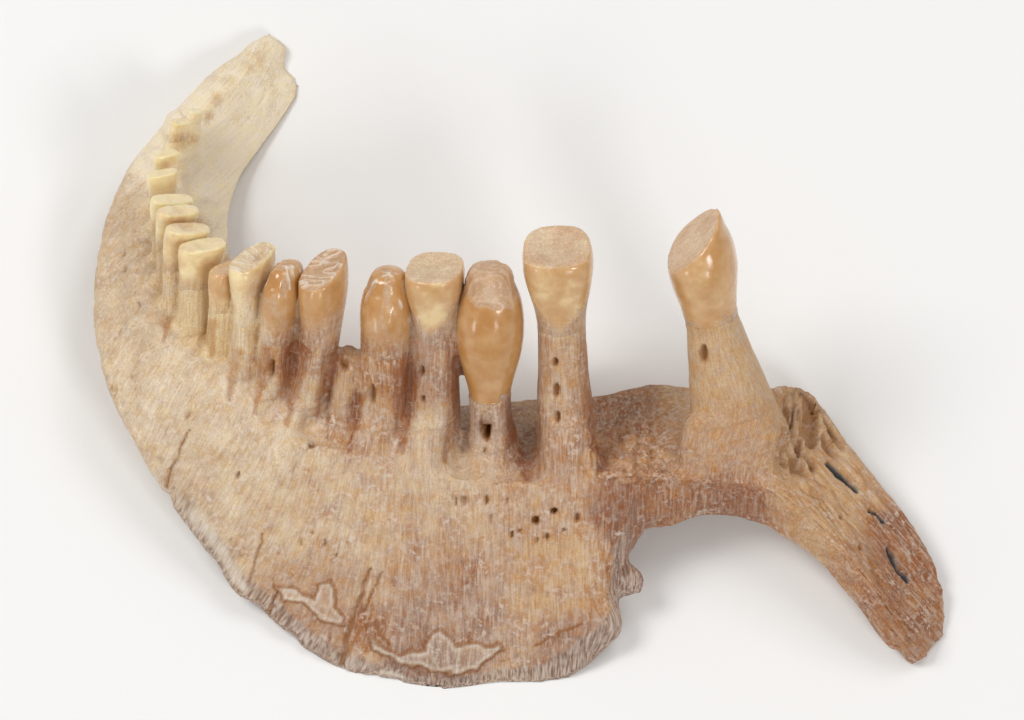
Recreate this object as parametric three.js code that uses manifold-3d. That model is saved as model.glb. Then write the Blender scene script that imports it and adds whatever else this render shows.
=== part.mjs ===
// Fifth ceratobranchial of a large redhorse sucker: one pharyngeal arch of bone with its
// single row of teeth, thin and comb-like on the upper limb and swelling to broad grinding
// molars below. A loft of cross-sections makes the bone, and each tooth is a loft of rings.
// The places below are in a drawing frame (x right, y up, z out of the tooth row's face),
// which REST_TILT then lays down on the three points that the bone rests on.

import * as THREE from 'three';
import { mergeVertices } from 'three/addons/utils/BufferGeometryUtils.js';
import Module from 'manifold-3d';

const wasm = await Module();
wasm.setup();

// Resting place of the bone
const REST_TILT = 18;
const REST_LEVEL = -9.4;

// Meshing
const BONE_RINGS = 70;
const FRONT_STEPS = 7;
const REAR_STEPS = 8;
const SHELF_STEPS = 5;
const TOOTH_SIDES = 12;
const MERGE_WITHIN = 1e-5;
const FLOOR_SIZE = 120;
const SCRAP_VOLUME = 1;

// Form of the bone's section
const FRONT_SWELL = 0.035;
const SHELF_DIP = 0.05;
const RIM_ROUND = 0.35;

// Form of a tooth. Its levels are 0 at the root's end, 1 at the base, 2 at the neck, 3 at the
// middle of the worn face and 4 at the crest that has been worn away
const TOOTH_LEVELS = [0, 0.6, 1, 1.3, 1.65, 2, 2.25, 2.5, 2.75, 3, 3.45, 3.85];
const TOP_LEVEL = 4;
const ROOT_SINK = 2.0;
const ROOT_TAPER = 0.72;
const TOOTH_SQUARENESS = 2.5;

// Partings between the named lengths
const GAP = 0.3;
const CUT_SPAN = 26;
const CUT_DEPTH = 34;
const WING_PARTING = 4.6;

// Stations from the dorsal tip to the ventral tip. ridge is the front of the tooth row, edge
// the outer border of the wing and back the inner border of the shelf that carries the teeth.
// rim, shelf and web are thicknesses there, and hollow says how far the rear side is scooped.
const STATIONS = [
  // Dorsal limb, from its blunt two-lobed tip down to the comb
  { ridge: [-15.2, 19.9, -15.1], edge: [-15.7, 20.2, -15.4], back: [-14.5, 19.5, -15.5],
    rim: 0.7, shelf: 0.7, web: 0.8, hollow: 0 },
  { ridge: [-16.0, 18.8, -14.2], edge: [-17.1, 19.2, -14.7], back: [-14.2, 18.1, -15.3],
    rim: 1.0, shelf: 1.1, web: 1.4, hollow: 0 },
  { ridge: [-17.4, 17.3, -12.9], edge: [-18.8, 18.0, -13.5], back: [-13.7, 16.5, -14.9],
    rim: 1.1, shelf: 1.2, web: 1.6, hollow: 0 },
  { ridge: [-19.6, 14.7, -11.1], edge: [-21.4, 15.3, -11.8], back: [-15.4, 13.8, -13.8],
    rim: 1.1, shelf: 1.3, web: 1.8, hollow: 0 },
  { ridge: [-21.6, 10.8, -8.5], edge: [-24.5, 11.0, -9.6], back: [-17.4, 10.6, -11.8],
    rim: 1.0, shelf: 1.5, web: 2.0, hollow: 0 },
  // Bend, where the wing begins
  { ridge: [-21.9, 6.1, -5.2], edge: [-25.9, 5.7, -6.6], back: [-17.6, 6.3, -9.0],
    rim: 0.9, shelf: 1.5, web: 2.4, hollow: 0.2 },
  { ridge: [-20.6, 1.1, -2.2], edge: [-25.4, -0.6, -4.2], back: [-15.1, 2.0, -7.2],
    rim: 0.8, shelf: 1.5, web: 2.8, hollow: 0.5 },
  { ridge: [-16.5, -3.2, -0.6], edge: [-21.9, -7.5, -3.7], back: [-10.5, -1.0, -6.6],
    rim: 0.8, shelf: 1.5, web: 3.0, hollow: 0.7 },
  // Body under the tooth row, with the wing at its widest
  { ridge: [-11.1, -5.2, -0.1], edge: [-17.1, -13.6, -3.7], back: [-6.2, -2.4, -6.5],
    rim: 0.8, shelf: 1.5, web: 3.0, hollow: 0.8 },
  { ridge: [-5.4, -6.7, 0.1], edge: [-10.0, -19.0, -3.8], back: [-2.7, -2.5, -6.4],
    rim: 0.8, shelf: 1.5, web: 3.0, hollow: 0.8 },
  { ridge: [1.2, -7.2, 0.1], edge: [1.4, -19.5, -3.6], back: [2.4, -2.1, -6.3],
    rim: 0.8, shelf: 1.5, web: 3.0, hollow: 0.8 },
  { ridge: [4.2, -7.0, 0.1], edge: [5.2, -17.0, -2.8], back: [5.2, -1.9, -6.4],
    rim: 0.8, shelf: 1.5, web: 3.0, hollow: 0.8 },
  // Broken end of the wing and the empty socket
  { ridge: [6.2, -6.8, 0.1], edge: [6.0, -12.9, -2.4], back: [7.6, -1.3, -6.6],
    rim: 1.0, shelf: 1.6, web: 3.0, hollow: 0.6 },
  { ridge: [7.9, -6.8, 0.0], edge: [7.9, -10.1, -3.0], back: [8.8, -1.3, -6.6],
    rim: 1.6, shelf: 1.7, web: 3.0, hollow: 0.3 },
  // Rod-like ventral limb
  { ridge: [12.6, -7.2, -0.2], edge: [12.6, -9.6, -4.0], back: [13.7, -1.7, -6.4],
    rim: 1.8, shelf: 1.8, web: 3.0, hollow: 0 },
  { ridge: [15.7, -7.9, 0.2], edge: [15.6, -10.8, -3.2], back: [17.3, -1.6, -5.8],
    rim: 1.8, shelf: 1.8, web: 3.0, hollow: 0 },
  { ridge: [18.3, -10.0, 0.4], edge: [18.0, -12.4, -2.4], back: [20.0, -5.1, -5.0],
    rim: 1.7, shelf: 1.7, web: 3.0, hollow: 0 },
  { ridge: [20.9, -13.0, 0.0], edge: [20.3, -15.2, -2.4], back: [23.1, -9.0, -4.6],
    rim: 1.6, shelf: 1.6, web: 3.0, hollow: 0 },
  { ridge: [23.1, -16.0, -1.2], edge: [22.0, -17.4, -3.0], back: [25.4, -12.9, -4.4],
    rim: 1.4, shelf: 1.4, web: 2.5, hollow: 0 },
  { ridge: [24.6, -17.7, -3.0], edge: [23.6, -18.4, -3.6], back: [25.6, -16.5, -4.2],
    rim: 1.0, shelf: 1.0, web: 1.2, hollow: 0 },
];

// Teeth from the ventral end of the row to the dorsal end. wide is the size along the row and
// deep the size across it, each at the base, the neck and the crown. across points from the
// front of the row to its back. belly is the height in the crown where it is widest, crest is
// how far the crown would rise past its worn face, and face is that face's slope towards the
// front and towards the ventral side, in degrees. flare is how fast the base runs into the neck.
const TEETH = [
  { base: [13.3, -4.7, -2.8], neck: [11.5, 2.5, 1.5], top: [10.6, 7.7, 4.4],
    across: [0.1, 0.5, -0.85], wide: [6.2, 3.2, 4.2], deep: [5.2, 3.2, 4.6],
    belly: 0.6, crest: 0.3, flare: 1.1, face: [24, -36] },
  { base: [2.8, -5.0, -2.8], neck: [2.5, 2.0, 1.1], top: [2.2, 6.9, 4.0],
    across: [0, 0.5, -0.85], wide: [3.8, 2.9, 4.3], deep: [4.4, 3.0, 4.2],
    belly: 0.75, crest: 0.4, flare: 1.6, face: [24, 0] },
  { base: [-1.6, -5.3, -2.8], neck: [-1.8, -2.1, -0.9], top: [-1.8, 4.9, 3.2],
    across: [0.1, 0.5, -0.85], wide: [3.4, 2.5, 4.2], deep: [4.6, 3.0, 4.0],
    belly: 0.55, crest: 0.12, flare: 2, face: [16, 6] },
  { base: [-5.1, -5.2, -2.8], neck: [-5.1, 1.7, 1.0], top: [-5.1, 5.3, 3.1],
    across: [0.2, 0.48, -0.85], wide: [3.2, 2.8, 3.5], deep: [4.4, 2.8, 3.8],
    belly: 0.85, crest: 0.6, flare: 2, face: [26, -4] },
  { base: [-8.2, -4.8, -2.8], neck: [-8.0, 0.6, 0.4], top: [-7.9, 4.6, 2.5],
    across: [0.3, 0.45, -0.82], wide: [3.1, 3.2, 3.2], deep: [4.0, 2.8, 3.8],
    belly: 0.5, crest: 0.25, flare: 2, face: [28, 12] },
  { base: [-10.7, -4.2, -2.8], neck: [-10.4, -1.2, -0.9], top: [-10.3, 0.6, 0.1],
    across: [0.38, 0.42, -0.82], wide: [2.2, 1.7, 1.4], deep: [3.0, 2.0, 1.9],
    belly: 0.4, crest: 0.5, flare: 2, face: [20, 20] },
  { base: [-12.8, -3.2, -2.8], neck: [-12.0, 1.2, 0.5], top: [-11.7, 5.7, 2.7],
    across: [0.45, 0.4, -0.8], wide: [2.0, 2.3, 2.6], deep: [3.6, 2.6, 3.8],
    belly: 0.75, crest: 0.5, flare: 2, face: [26, 4] },
  { base: [-14.8, -2.5, -2.9], neck: [-14.5, 1.4, 0.2], top: [-14.0, 5.0, 2.0],
    across: [0.5, 0.38, -0.78], wide: [2.2, 2.0, 2.1], deep: [3.4, 2.6, 3.6],
    belly: 0.7, crest: 0.5, flare: 2, face: [26, 4] },
  { base: [-16.5, -1.6, -3.2], neck: [-16.3, 2.6, -0.1], top: [-16.0, 6.4, 1.6],
    across: [0.6, 0.35, -0.72], wide: [1.9, 1.6, 2.1], deep: [3.2, 2.1, 3.5],
    belly: 0.8, crest: 0.5, flare: 2, face: [24, 0] },
  { base: [-18.0, -0.6, -3.6], neck: [-17.8, 3.2, -0.6], top: [-17.5, 5.7, 0.8],
    across: [0.75, 0.25, -0.6], wide: [1.7, 1.4, 1.5], deep: [3.0, 2.0, 2.5],
    belly: 0.7, crest: 0.5, flare: 2, face: [20, 0] },
  { base: [-19.6, 1.0, -3.9], neck: [-19.5, 4.6, -1.2], top: [-19.0, 7.1, 0.4],
    across: [0.9, 0.12, -0.4], wide: [1.7, 1.4, 1.4], deep: [3.0, 2.1, 3.0],
    belly: 0.85, crest: 0.5, flare: 2, face: [6, 0] },
  { base: [-20.5, 2.5, -4.4], neck: [-20.6, 5.7, -1.9], top: [-20.1, 8.1, -0.3],
    across: [0.88, 0.22, -0.3], wide: [1.4, 1.2, 1.2], deep: [2.6, 2.0, 2.5],
    belly: 0.85, crest: 0.5, flare: 2, face: [0, 0] },
  { base: [-21.0, 3.9, -5.1], neck: [-21.1, 7.0, -2.8], top: [-20.8, 9.2, -1.3],
    across: [0.86, 0.3, -0.3], wide: [1.3, 1.0, 1.0], deep: [2.4, 1.9, 2.3],
    belly: 0.85, crest: 0.5, flare: 2, face: [0, 0] },
  { base: [-21.3, 5.2, -5.8], neck: [-21.5, 8.0, -3.7], top: [-21.4, 9.9, -2.4],
    across: [0.88, 0.22, -0.3], wide: [1.2, 0.9, 0.9], deep: [2.2, 1.7, 2.0],
    belly: 0.85, crest: 0.5, flare: 2, face: [0, 0] },
  { base: [-21.4, 7.1, -6.9], neck: [-21.6, 9.8, -5.1], top: [-21.6, 11.5, -4.0],
    across: [0.9, 0.12, -0.35], wide: [1.2, 0.9, 0.9], deep: [2.1, 1.7, 2.0],
    belly: 0.8, crest: 0.5, flare: 2, face: [0, 0] },
  { base: [-21.3, 8.8, -7.9], neck: [-21.5, 11.2, -6.4], top: [-21.4, 12.7, -5.5],
    across: [0.88, 0.22, -0.4], wide: [1.1, 0.8, 0.8], deep: [1.9, 1.5, 1.7],
    belly: 0.8, crest: 0.5, flare: 2, face: [0, 0] },
  { base: [-20.9, 11.7, -9.4], neck: [-20.8, 13.6, -8.4], top: [-20.6, 14.7, -7.8],
    across: [0.85, 0.25, -0.45], wide: [1.0, 0.8, 0.8], deep: [1.6, 1.3, 1.3],
    belly: 0.8, crest: 0.5, flare: 2, face: [0, 0] },
  { base: [-20.1, 13.1, -10.3], neck: [-19.9, 14.6, -9.6], top: [-19.7, 15.4, -9.2],
    across: [0.82, 0.3, -0.45], wide: [0.9, 0.7, 0.7], deep: [1.4, 1.1, 1.0],
    belly: 0.8, crest: 0.5, flare: 2, face: [0, 0] },
];

// Cuts between neighbouring teeth: each lies midway between the two teeth, counted from the
// ventral end, and runs on through the bone
const TOOTH_CUTS = [[0, 1], [5, 6], [9, 10], [13, 14], [15, 16]];
const LIMB_CUT_STATION = 15.25;
const WING_START = 5.5;
const WING_END = 13.05;
const WING_RINGS = 36;
const SHEET_DEPTHS = [-1.5, 0.5, 2.5, 4.5, 6.5];

// Each node with a place inside it, in the drawing frame
const NODES = [
  { name: 'dorsal_tip', at: [-19.9, 13.9, -10.8], colour: '#e6d3ad' },
  { name: 'dorsal_limb', at: [-21.6, 8.0, -6.8], colour: '#e4cfa6' },
  { name: 'arch_bend', at: [-19.8, 2.9, -3.2], colour: '#e1c99c' },
  { name: 'tooth_ridge_upper', at: [-14.0, -1.5, -1.5], colour: '#d9bd8e' },
  { name: 'tooth_ridge_lower', at: [-3.0, -3.0, -1.5], colour: '#cfae80' },
  { name: 'molar_base', at: [11.0, -3.0, -2.0], colour: '#cdab7c' },
  { name: 'ventral_limb', at: [21.0, -12.5, -2.5], colour: '#c39c6c' },
  { name: 'wing_upper', at: [-17.0, -10.0, -3.0], colour: '#d6bf97' },
  { name: 'wing_lower', at: [-4.0, -15.0, -2.5], colour: '#cfb489' },
];

// The two lengths of the arch that the wing grows from
const WINGED = [[-14.0, -4.5, -2.0], [-3.0, -8.0, -1.5]];

const restTurn = new THREE.Matrix4().makeRotationX(THREE.MathUtils.degToRad(REST_TILT));

function laid([x, y, z]) {
  return new THREE.Vector3(x, y, z).applyMatrix4(restTurn);
}

function direction([x, y, z]) {
  return laid([x, y, z]).normalize();
}

const rails = {
  ridge: new THREE.CatmullRomCurve3(STATIONS.map((row) => laid(row.ridge)), false, 'catmullrom', 0.5),
  edge: new THREE.CatmullRomCurve3(STATIONS.map((row) => laid(row.edge)), false, 'catmullrom', 0.5),
  back: new THREE.CatmullRomCurve3(STATIONS.map((row) => laid(row.back)), false, 'catmullrom', 0.5),
};

function gaugeAt(station, field) {
  const low = Math.min(Math.floor(station), STATIONS.length - 2);
  return THREE.MathUtils.lerp(STATIONS[low][field], STATIONS[low + 1][field], station - low);
}

// The plane of one cross-section: origin on the ridge, u towards the edge, v to the rear
function sectionFrame(station) {
  const t = station / (STATIONS.length - 1);
  const origin = rails.ridge.getPoint(t);
  const toEdge = rails.edge.getPoint(t).sub(origin);
  const toBack = rails.back.getPoint(t).sub(origin);
  const u = toEdge.clone().normalize();
  const v = toBack.clone().addScaledVector(u, -toBack.dot(u)).normalize();
  return { origin, u, v, reach: toEdge.length(), back: [toBack.dot(u), toBack.dot(v)] };
}

function bezier(a, b, c, f) {
  const g = 1 - f;
  return [0, 1].map((i) => g * g * a[i] + 2 * g * f * b[i] + f * f * c[i]);
}

// Outline of one cross-section in its own plane, from the ridge round the edge and back
function outlineAt(station) {
  const { reach, back } = sectionFrame(station);
  const rim = gaugeAt(station, 'rim');
  const shelf = gaugeAt(station, 'shelf');
  const web = gaugeAt(station, 'web');
  const hollow = gaugeAt(station, 'hollow');
  const span = Math.hypot(back[0], back[1]);
  const under = [back[1] / span, -back[0] / span];
  const points = [];
  for (let i = 0; i < FRONT_STEPS; i += 1) {
    const f = i / FRONT_STEPS;
    points.push([f * (reach - RIM_ROUND * rim), -FRONT_SWELL * reach * Math.sin(Math.PI * f)]);
  }
  const rearEdge = [reach - RIM_ROUND * rim, rim];
  const rearBack = [back[0] + under[0] * shelf, back[1] + under[1] * shelf];
  points.push([reach - RIM_ROUND * rim, 0]);
  points.push([reach, rim * RIM_ROUND], [reach, rim * (1 - RIM_ROUND)]);
  const corner = [web, web];
  const control = [0, 1].map((i) => THREE.MathUtils.lerp(
    (rearEdge[i] + rearBack[i]) / 2, corner[i], hollow));
  for (let i = 0; i <= REAR_STEPS; i += 1) {
    points.push(bezier(rearEdge, control, rearBack, i / REAR_STEPS));
  }
  const past = 1 + (RIM_ROUND * shelf) / span;
  points.push([0, 1].map((i) => back[i] * past + (under[i] * shelf) / 2));
  for (let i = 0; i < SHELF_STEPS; i += 1) {
    const f = i / SHELF_STEPS;
    const dip = SHELF_DIP * span * Math.sin(Math.PI * f);
    points.push([0, 1].map((k) => back[k] * (1 - f) + under[k] * dip));
  }
  return points;
}

function ringAt(station) {
  const { origin, u, v } = sectionFrame(station);
  return outlineAt(station).map(([a, b]) => (
    origin.clone().addScaledVector(u, a).addScaledVector(v, b)));
}

// Closed surface through rings of equal count, with a fan of triangles on each end
function loft(rings) {
  const sides = rings[0].length;
  const centres = [rings[0], rings[rings.length - 1]].map((ring) => (
    ring.reduce((sum, point) => sum.add(point), new THREE.Vector3()).divideScalar(sides)));
  const points = rings.flat().concat(centres);
  const first = rings.length * sides;
  const faces = [];
  for (let r = 0; r + 1 < rings.length; r += 1) {
    for (let k = 0; k < sides; k += 1) {
      const a = r * sides + k;
      const b = r * sides + ((k + 1) % sides);
      faces.push(a, b, b + sides, a, b + sides, a + sides);
    }
  }
  for (let k = 0; k < sides; k += 1) {
    const next = (k + 1) % sides;
    const top = first - sides;
    faces.push(first, next, k, first + 1, top + k, top + next);
  }
  const geometry = new THREE.BufferGeometry().setFromPoints(points);
  geometry.setIndex(faces);
  return geometry;
}

function enclosedVolume(positions, index) {
  const [a, b, c] = [new THREE.Vector3(), new THREE.Vector3(), new THREE.Vector3()];
  let total = 0;
  for (let i = 0; i < index.length; i += 3) {
    a.fromArray(positions, index[i] * 3);
    b.fromArray(positions, index[i + 1] * 3);
    c.fromArray(positions, index[i + 2] * 3);
    total += a.dot(b.cross(c)) / 6;
  }
  return total;
}

function solidOf(source) {
  const bare = source.clone();
  bare.deleteAttribute('normal');
  bare.deleteAttribute('uv');
  const merged = mergeVertices(bare, MERGE_WITHIN);
  const vertProperties = new Float32Array(merged.attributes.position.array);
  const triVerts = new Uint32Array(merged.index.array);
  if (enclosedVolume(vertProperties, triVerts) < 0) {
    triVerts.reverse();
  }
  return new wasm.Manifold(new wasm.Mesh({ numProp: 3, vertProperties, triVerts }));
}

function geometryOf(solid) {
  const mesh = solid.getMesh();
  const geometry = new THREE.BufferGeometry();
  geometry.setAttribute('position', new THREE.BufferAttribute(new Float32Array(mesh.vertProperties), 3));
  geometry.setIndex(new THREE.BufferAttribute(new Uint32Array(mesh.triVerts), 1));
  return geometry;
}

function boneSolid() {
  const rings = [];
  for (let i = 0; i <= BONE_RINGS; i += 1) {
    const t = rails.ridge.getUtoTmapping(i / BONE_RINGS);
    rings.push(ringAt(t * (STATIONS.length - 1)));
  }
  return solidOf(loft(rings));
}

function toothAxis(tooth) {
  const [base, neck, top] = [laid(tooth.base), laid(tooth.neck), laid(tooth.top)];
  const down = base.clone().sub(neck).normalize();
  const root = base.clone().addScaledVector(down, ROOT_SINK);
  const crest = top.clone().add(top.clone().sub(neck).multiplyScalar(tooth.crest));
  return new THREE.CatmullRomCurve3([root, base, neck, top, crest], false, 'catmullrom', 0.5);
}

function toothSize(sizes, level, { belly, crest, flare }) {
  const [base, neck, crown] = sizes;
  if (level < 1) {
    return base * THREE.MathUtils.lerp(ROOT_TAPER, 1, level);
  }
  if (level < 2) {
    return THREE.MathUtils.lerp(neck, base, (2 - level) ** flare);
  }
  const height = level < 3 ? level - 2 : 1 + (level - 3) * crest;
  if (height < belly) {
    return THREE.MathUtils.lerp(neck, crown, THREE.MathUtils.smoothstep(height, 0, belly));
  }
  const past = (height - belly) / (1 + crest - belly);
  return crown * Math.sqrt(1 - past * past);
}

function toothSolid(tooth) {
  const axis = toothAxis(tooth);
  const across = direction(tooth.across);
  const rings = TOOTH_LEVELS.map((level) => {
    const centre = axis.getPoint(level / TOP_LEVEL);
    const up = axis.getTangent(level / TOP_LEVEL);
    const rear = across.clone().addScaledVector(up, -across.dot(up)).normalize();
    const along = rear.clone().cross(up);
    const wide = toothSize(tooth.wide, level, tooth) / 2;
    const deep = toothSize(tooth.deep, level, tooth) / 2;
    return Array.from({ length: TOOTH_SIDES }, (_, k) => {
      const turn = (2 * Math.PI * k) / TOOTH_SIDES;
      const power = 2 / TOOTH_SQUARENESS;
      const x = Math.sign(Math.cos(turn)) * Math.abs(Math.cos(turn)) ** power * wide;
      const y = Math.sign(Math.sin(turn)) * Math.abs(Math.sin(turn)) ** power * deep;
      return centre.clone().addScaledVector(along, x).addScaledVector(rear, y);
    });
  });
  return solidOf(loft(rings.map((ring) => wornDown(ring, tooth, axis, across))));
}

// Points above the worn face slide down the crown's axis onto it
function wornDown(ring, tooth, axis, across) {
  const up = axis.getTangent(3 / TOP_LEVEL);
  const rear = across.clone().addScaledVector(up, -across.dot(up)).normalize();
  const along = rear.clone().cross(up);
  const [front, side] = tooth.face.map((angle) => Math.tan(THREE.MathUtils.degToRad(angle)));
  const normal = up.clone().addScaledVector(rear, -front).addScaledVector(along, side).normalize();
  const height = normal.dot(laid(tooth.top));
  return ring.map((point) => {
    const over = normal.dot(point) - height;
    return over > 0 ? point.clone().addScaledVector(up, -over / normal.dot(up)) : point;
  });
}

function slab(centre, thin, across, size) {
  const third = thin.clone().cross(across);
  const basis = new THREE.Matrix4().makeBasis(thin, across, third).setPosition(centre);
  return solidOf(new THREE.BoxGeometry(...size).applyMatrix4(basis));
}

function toothCut([lowIndex, highIndex]) {
  const [low, high] = [TEETH[lowIndex], TEETH[highIndex]];
  const base = laid(low.base).add(laid(high.base)).multiplyScalar(0.5);
  const top = laid(low.neck).add(laid(high.neck)).multiplyScalar(0.5);
  const up = top.sub(base).normalize();
  const across = direction(low.across).add(direction(high.across)).normalize();
  const thin = across.clone().cross(up).normalize();
  const flat = up.clone().cross(thin);
  return slab(base, thin, flat, [GAP, CUT_SPAN, CUT_DEPTH]);
}

function limbCut() {
  const { origin, u, v } = sectionFrame(LIMB_CUT_STATION);
  const thin = u.clone().cross(v);
  return slab(origin, thin, v, [GAP, CUT_SPAN, CUT_SPAN]);
}

// Thin sheet that follows the ridge and parts the wing from it
function wingParting() {
  const rings = [];
  for (let i = 0; i <= WING_RINGS; i += 1) {
    const { origin, u, v } = sectionFrame(THREE.MathUtils.lerp(WING_START, WING_END, i / WING_RINGS));
    const face = (offset) => SHEET_DEPTHS.map((depth) => (
      origin.clone().addScaledVector(u, WING_PARTING + offset).addScaledVector(v, depth)));
    rings.push(face(0).concat(face(GAP).reverse()));
  }
  return solidOf(loft(rings));
}

function floorBlock() {
  const block = new THREE.BoxGeometry(FLOOR_SIZE, FLOOR_SIZE, FLOOR_SIZE);
  block.translate(0, 0, REST_LEVEL - FLOOR_SIZE / 2);
  return solidOf(block);
}

function wholeArch() {
  const joined = TEETH.reduce((bone, tooth) => bone.add(toothSolid(tooth)), boneSolid());
  return joined.subtract(floorBlock());
}

// The lengths of the arch, with the wing parted from the two lengths that carry it
function partedPieces() {
  const cuts = TOOTH_CUTS.map(toothCut).concat([limbCut()]);
  const lengths = cuts.reduce((bone, cut) => bone.subtract(cut), wholeArch()).decompose();
  const winged = WINGED.map((place) => nearestTo(place, lengths));
  const sheet = wingParting();
  return lengths.flatMap((length) => (
    winged.includes(length) ? length.subtract(sheet).decompose() : [length]));
}

function centreOf(solid) {
  const { min, max } = solid.boundingBox();
  return new THREE.Vector3(...min).add(new THREE.Vector3(...max)).multiplyScalar(0.5);
}

function nearestTo(place, solids) {
  const target = laid(place);
  const sound = solids.filter((solid) => solid.volume() > SCRAP_VOLUME);
  sound.sort((p, q) => centreOf(p).distanceTo(target) - centreOf(q).distanceTo(target));
  return sound[0];
}

const pieces = partedPieces();

const arch = new THREE.Group();
for (const { name, at, colour } of NODES) {
  const material = new THREE.MeshStandardMaterial({ color: colour, roughness: 0.62, metalness: 0 });
  const mesh = new THREE.Mesh(geometryOf(nearestTo(at, pieces)), material);
  mesh.name = name;
  arch.add(mesh);
}

// The origin is the middle of the bone's box, on the surface that it rests on
const box = new THREE.Box3().setFromObject(arch);
const middle = box.getCenter(new THREE.Vector3());
arch.position.set(-middle.x, -middle.y, -box.min.z);

export default arch;
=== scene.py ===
"""Pharyngeal arch of a redhorse sucker: one bone with its row of teeth, lying on a pale table.

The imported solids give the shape. One skin is drawn over all of them, so the partings between
the named lengths close, and it is then carved with what a real arch shows: bone fibres, pores,
foramina, cracks, growth edges and the spongy hollow of the ventral limb. Each crown is a piece
of its own, with a worn face.
"""

import logging
import math
from contextlib import contextmanager
from dataclasses import dataclass, field
from enum import Enum
from typing import Iterable, Iterator, Sequence

import bpy
import numpy as np
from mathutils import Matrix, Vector


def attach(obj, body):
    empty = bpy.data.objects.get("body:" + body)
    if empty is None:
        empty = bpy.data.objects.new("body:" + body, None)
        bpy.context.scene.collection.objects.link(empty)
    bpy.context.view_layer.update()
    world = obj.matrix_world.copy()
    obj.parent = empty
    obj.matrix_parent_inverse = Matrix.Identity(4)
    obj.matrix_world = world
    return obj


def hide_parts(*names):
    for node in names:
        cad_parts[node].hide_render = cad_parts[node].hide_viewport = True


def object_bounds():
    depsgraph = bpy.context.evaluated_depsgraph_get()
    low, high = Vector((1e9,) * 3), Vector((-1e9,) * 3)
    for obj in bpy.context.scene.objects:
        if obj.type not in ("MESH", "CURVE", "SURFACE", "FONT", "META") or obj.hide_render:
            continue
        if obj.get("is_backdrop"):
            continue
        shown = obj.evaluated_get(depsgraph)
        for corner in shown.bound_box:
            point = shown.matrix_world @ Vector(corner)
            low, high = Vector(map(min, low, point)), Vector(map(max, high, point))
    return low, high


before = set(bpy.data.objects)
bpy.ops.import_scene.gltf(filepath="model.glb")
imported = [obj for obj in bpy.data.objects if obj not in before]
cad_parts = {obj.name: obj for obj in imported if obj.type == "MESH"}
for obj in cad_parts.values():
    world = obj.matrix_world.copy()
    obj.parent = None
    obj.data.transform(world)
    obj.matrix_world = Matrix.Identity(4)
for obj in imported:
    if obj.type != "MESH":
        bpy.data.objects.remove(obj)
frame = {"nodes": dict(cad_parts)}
CAD_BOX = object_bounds()

log = logging.getLogger("arch")

Array = np.ndarray
Piece = bpy.types.Object
Tree = bpy.types.NodeTree
Socket = bpy.types.NodeSocket
Pair = tuple[float, float]
Triple = tuple[float, float, float]
Stops = tuple[tuple[float, str], ...]

MM = 0.001
# How near a vertex may lie to a cut before it counts as on it, in metres: the skin is finer than
# Blender's own value
CUT_ERROR = 1e-8

# The drawing frame of the part's source: x right, y up, z out of the picture, in millimetres.
# The resting bone is that drawing turned about x and then moved
REST_TILT = math.radians(18)
DRAWING_ORIGIN = np.array([0.1277, -3.3427, 9.4])

# The camera, in the drawing frame
CAMERA_PLACE = np.array([-0.48, 0.15, 600.0])
VIEW_WIDTH = 61.44
SENSOR_WIDTH = 36.0

# How dark and how orange the gaps between the stalks are painted, partly their stain and partly painted
# shade, and how orange young stalks are
GAP_STAIN_AND_SHADE_DARKNESS = 0.42
GAP_STAIN_AND_SHADE_OCHRE = 0.6
YOUNG_OCHRE = 0.35

# How far apart the fibres of neighbouring teeth are counted, so that each has its own pattern
TOOTH_SHIFT = np.array([7.0, 0.0, 3.0])

# Rails of the arch from the dorsal tip to the ventral tip, in the drawing frame: the front of
# the tooth row and the outer border of the wing
RIDGE = np.array([
    (-15.2, 19.9, -15.1), (-16.0, 18.8, -14.2), (-17.4, 17.3, -12.9), (-19.6, 14.7, -11.1),
    (-21.6, 10.8, -8.5), (-21.9, 6.1, -5.2), (-20.6, 1.1, -2.2), (-16.5, -3.2, -0.6),
    (-11.1, -5.2, -0.1), (-5.4, -6.7, 0.1), (1.2, -7.2, 0.1), (4.2, -7.0, 0.1),
    (6.2, -6.8, 0.1), (7.9, -6.8, 0.0), (12.6, -7.2, -0.2), (15.7, -7.9, 0.2),
    (18.3, -10.0, 0.4), (20.9, -13.0, 0.0), (23.1, -16.0, -1.2), (24.6, -17.7, -3.0),
])
EDGE = np.array([
    (-15.7, 20.2, -15.4), (-17.1, 19.2, -14.7), (-18.8, 18.0, -13.5), (-21.4, 15.3, -11.8),
    (-24.5, 11.0, -9.6), (-25.9, 5.7, -6.6), (-25.4, -0.6, -4.2), (-21.9, -7.5, -3.7),
    (-17.1, -13.6, -3.7), (-10.0, -19.0, -3.8), (1.4, -19.5, -3.6), (5.2, -17.0, -2.8),
    (6.0, -12.9, -2.4), (7.9, -10.1, -3.0), (12.6, -9.6, -4.0), (15.6, -10.8, -3.2),
    (18.0, -12.4, -2.4), (20.3, -15.2, -2.4), (22.0, -17.4, -3.0), (23.6, -18.4, -3.6),
])


def to_part(points: Array) -> Array:
    """Turns drawing places in millimetres into the part's frame in metres.

    Args:
        points: places, one row each.

    Returns:
        The same places, one row each.
    """
    x, y, z = np.asarray(points, float).reshape(-1, 3).T
    cos, sin = math.cos(REST_TILT), math.sin(REST_TILT)
    turned = np.column_stack([x, y * cos - z * sin, y * sin + z * cos])
    return (turned + DRAWING_ORIGIN) * MM


def to_drawing(points: Array) -> Array:
    """Turns places in the part's frame in metres into drawing places in millimetres.

    Args:
        points: places, one row each.

    Returns:
        The same places, one row each.
    """
    x, y, z = (np.asarray(points, float).reshape(-1, 3) / MM - DRAWING_ORIGIN).T
    cos, sin = math.cos(REST_TILT), math.sin(REST_TILT)
    return np.column_stack([x, y * cos + z * sin, z * cos - y * sin])


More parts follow.
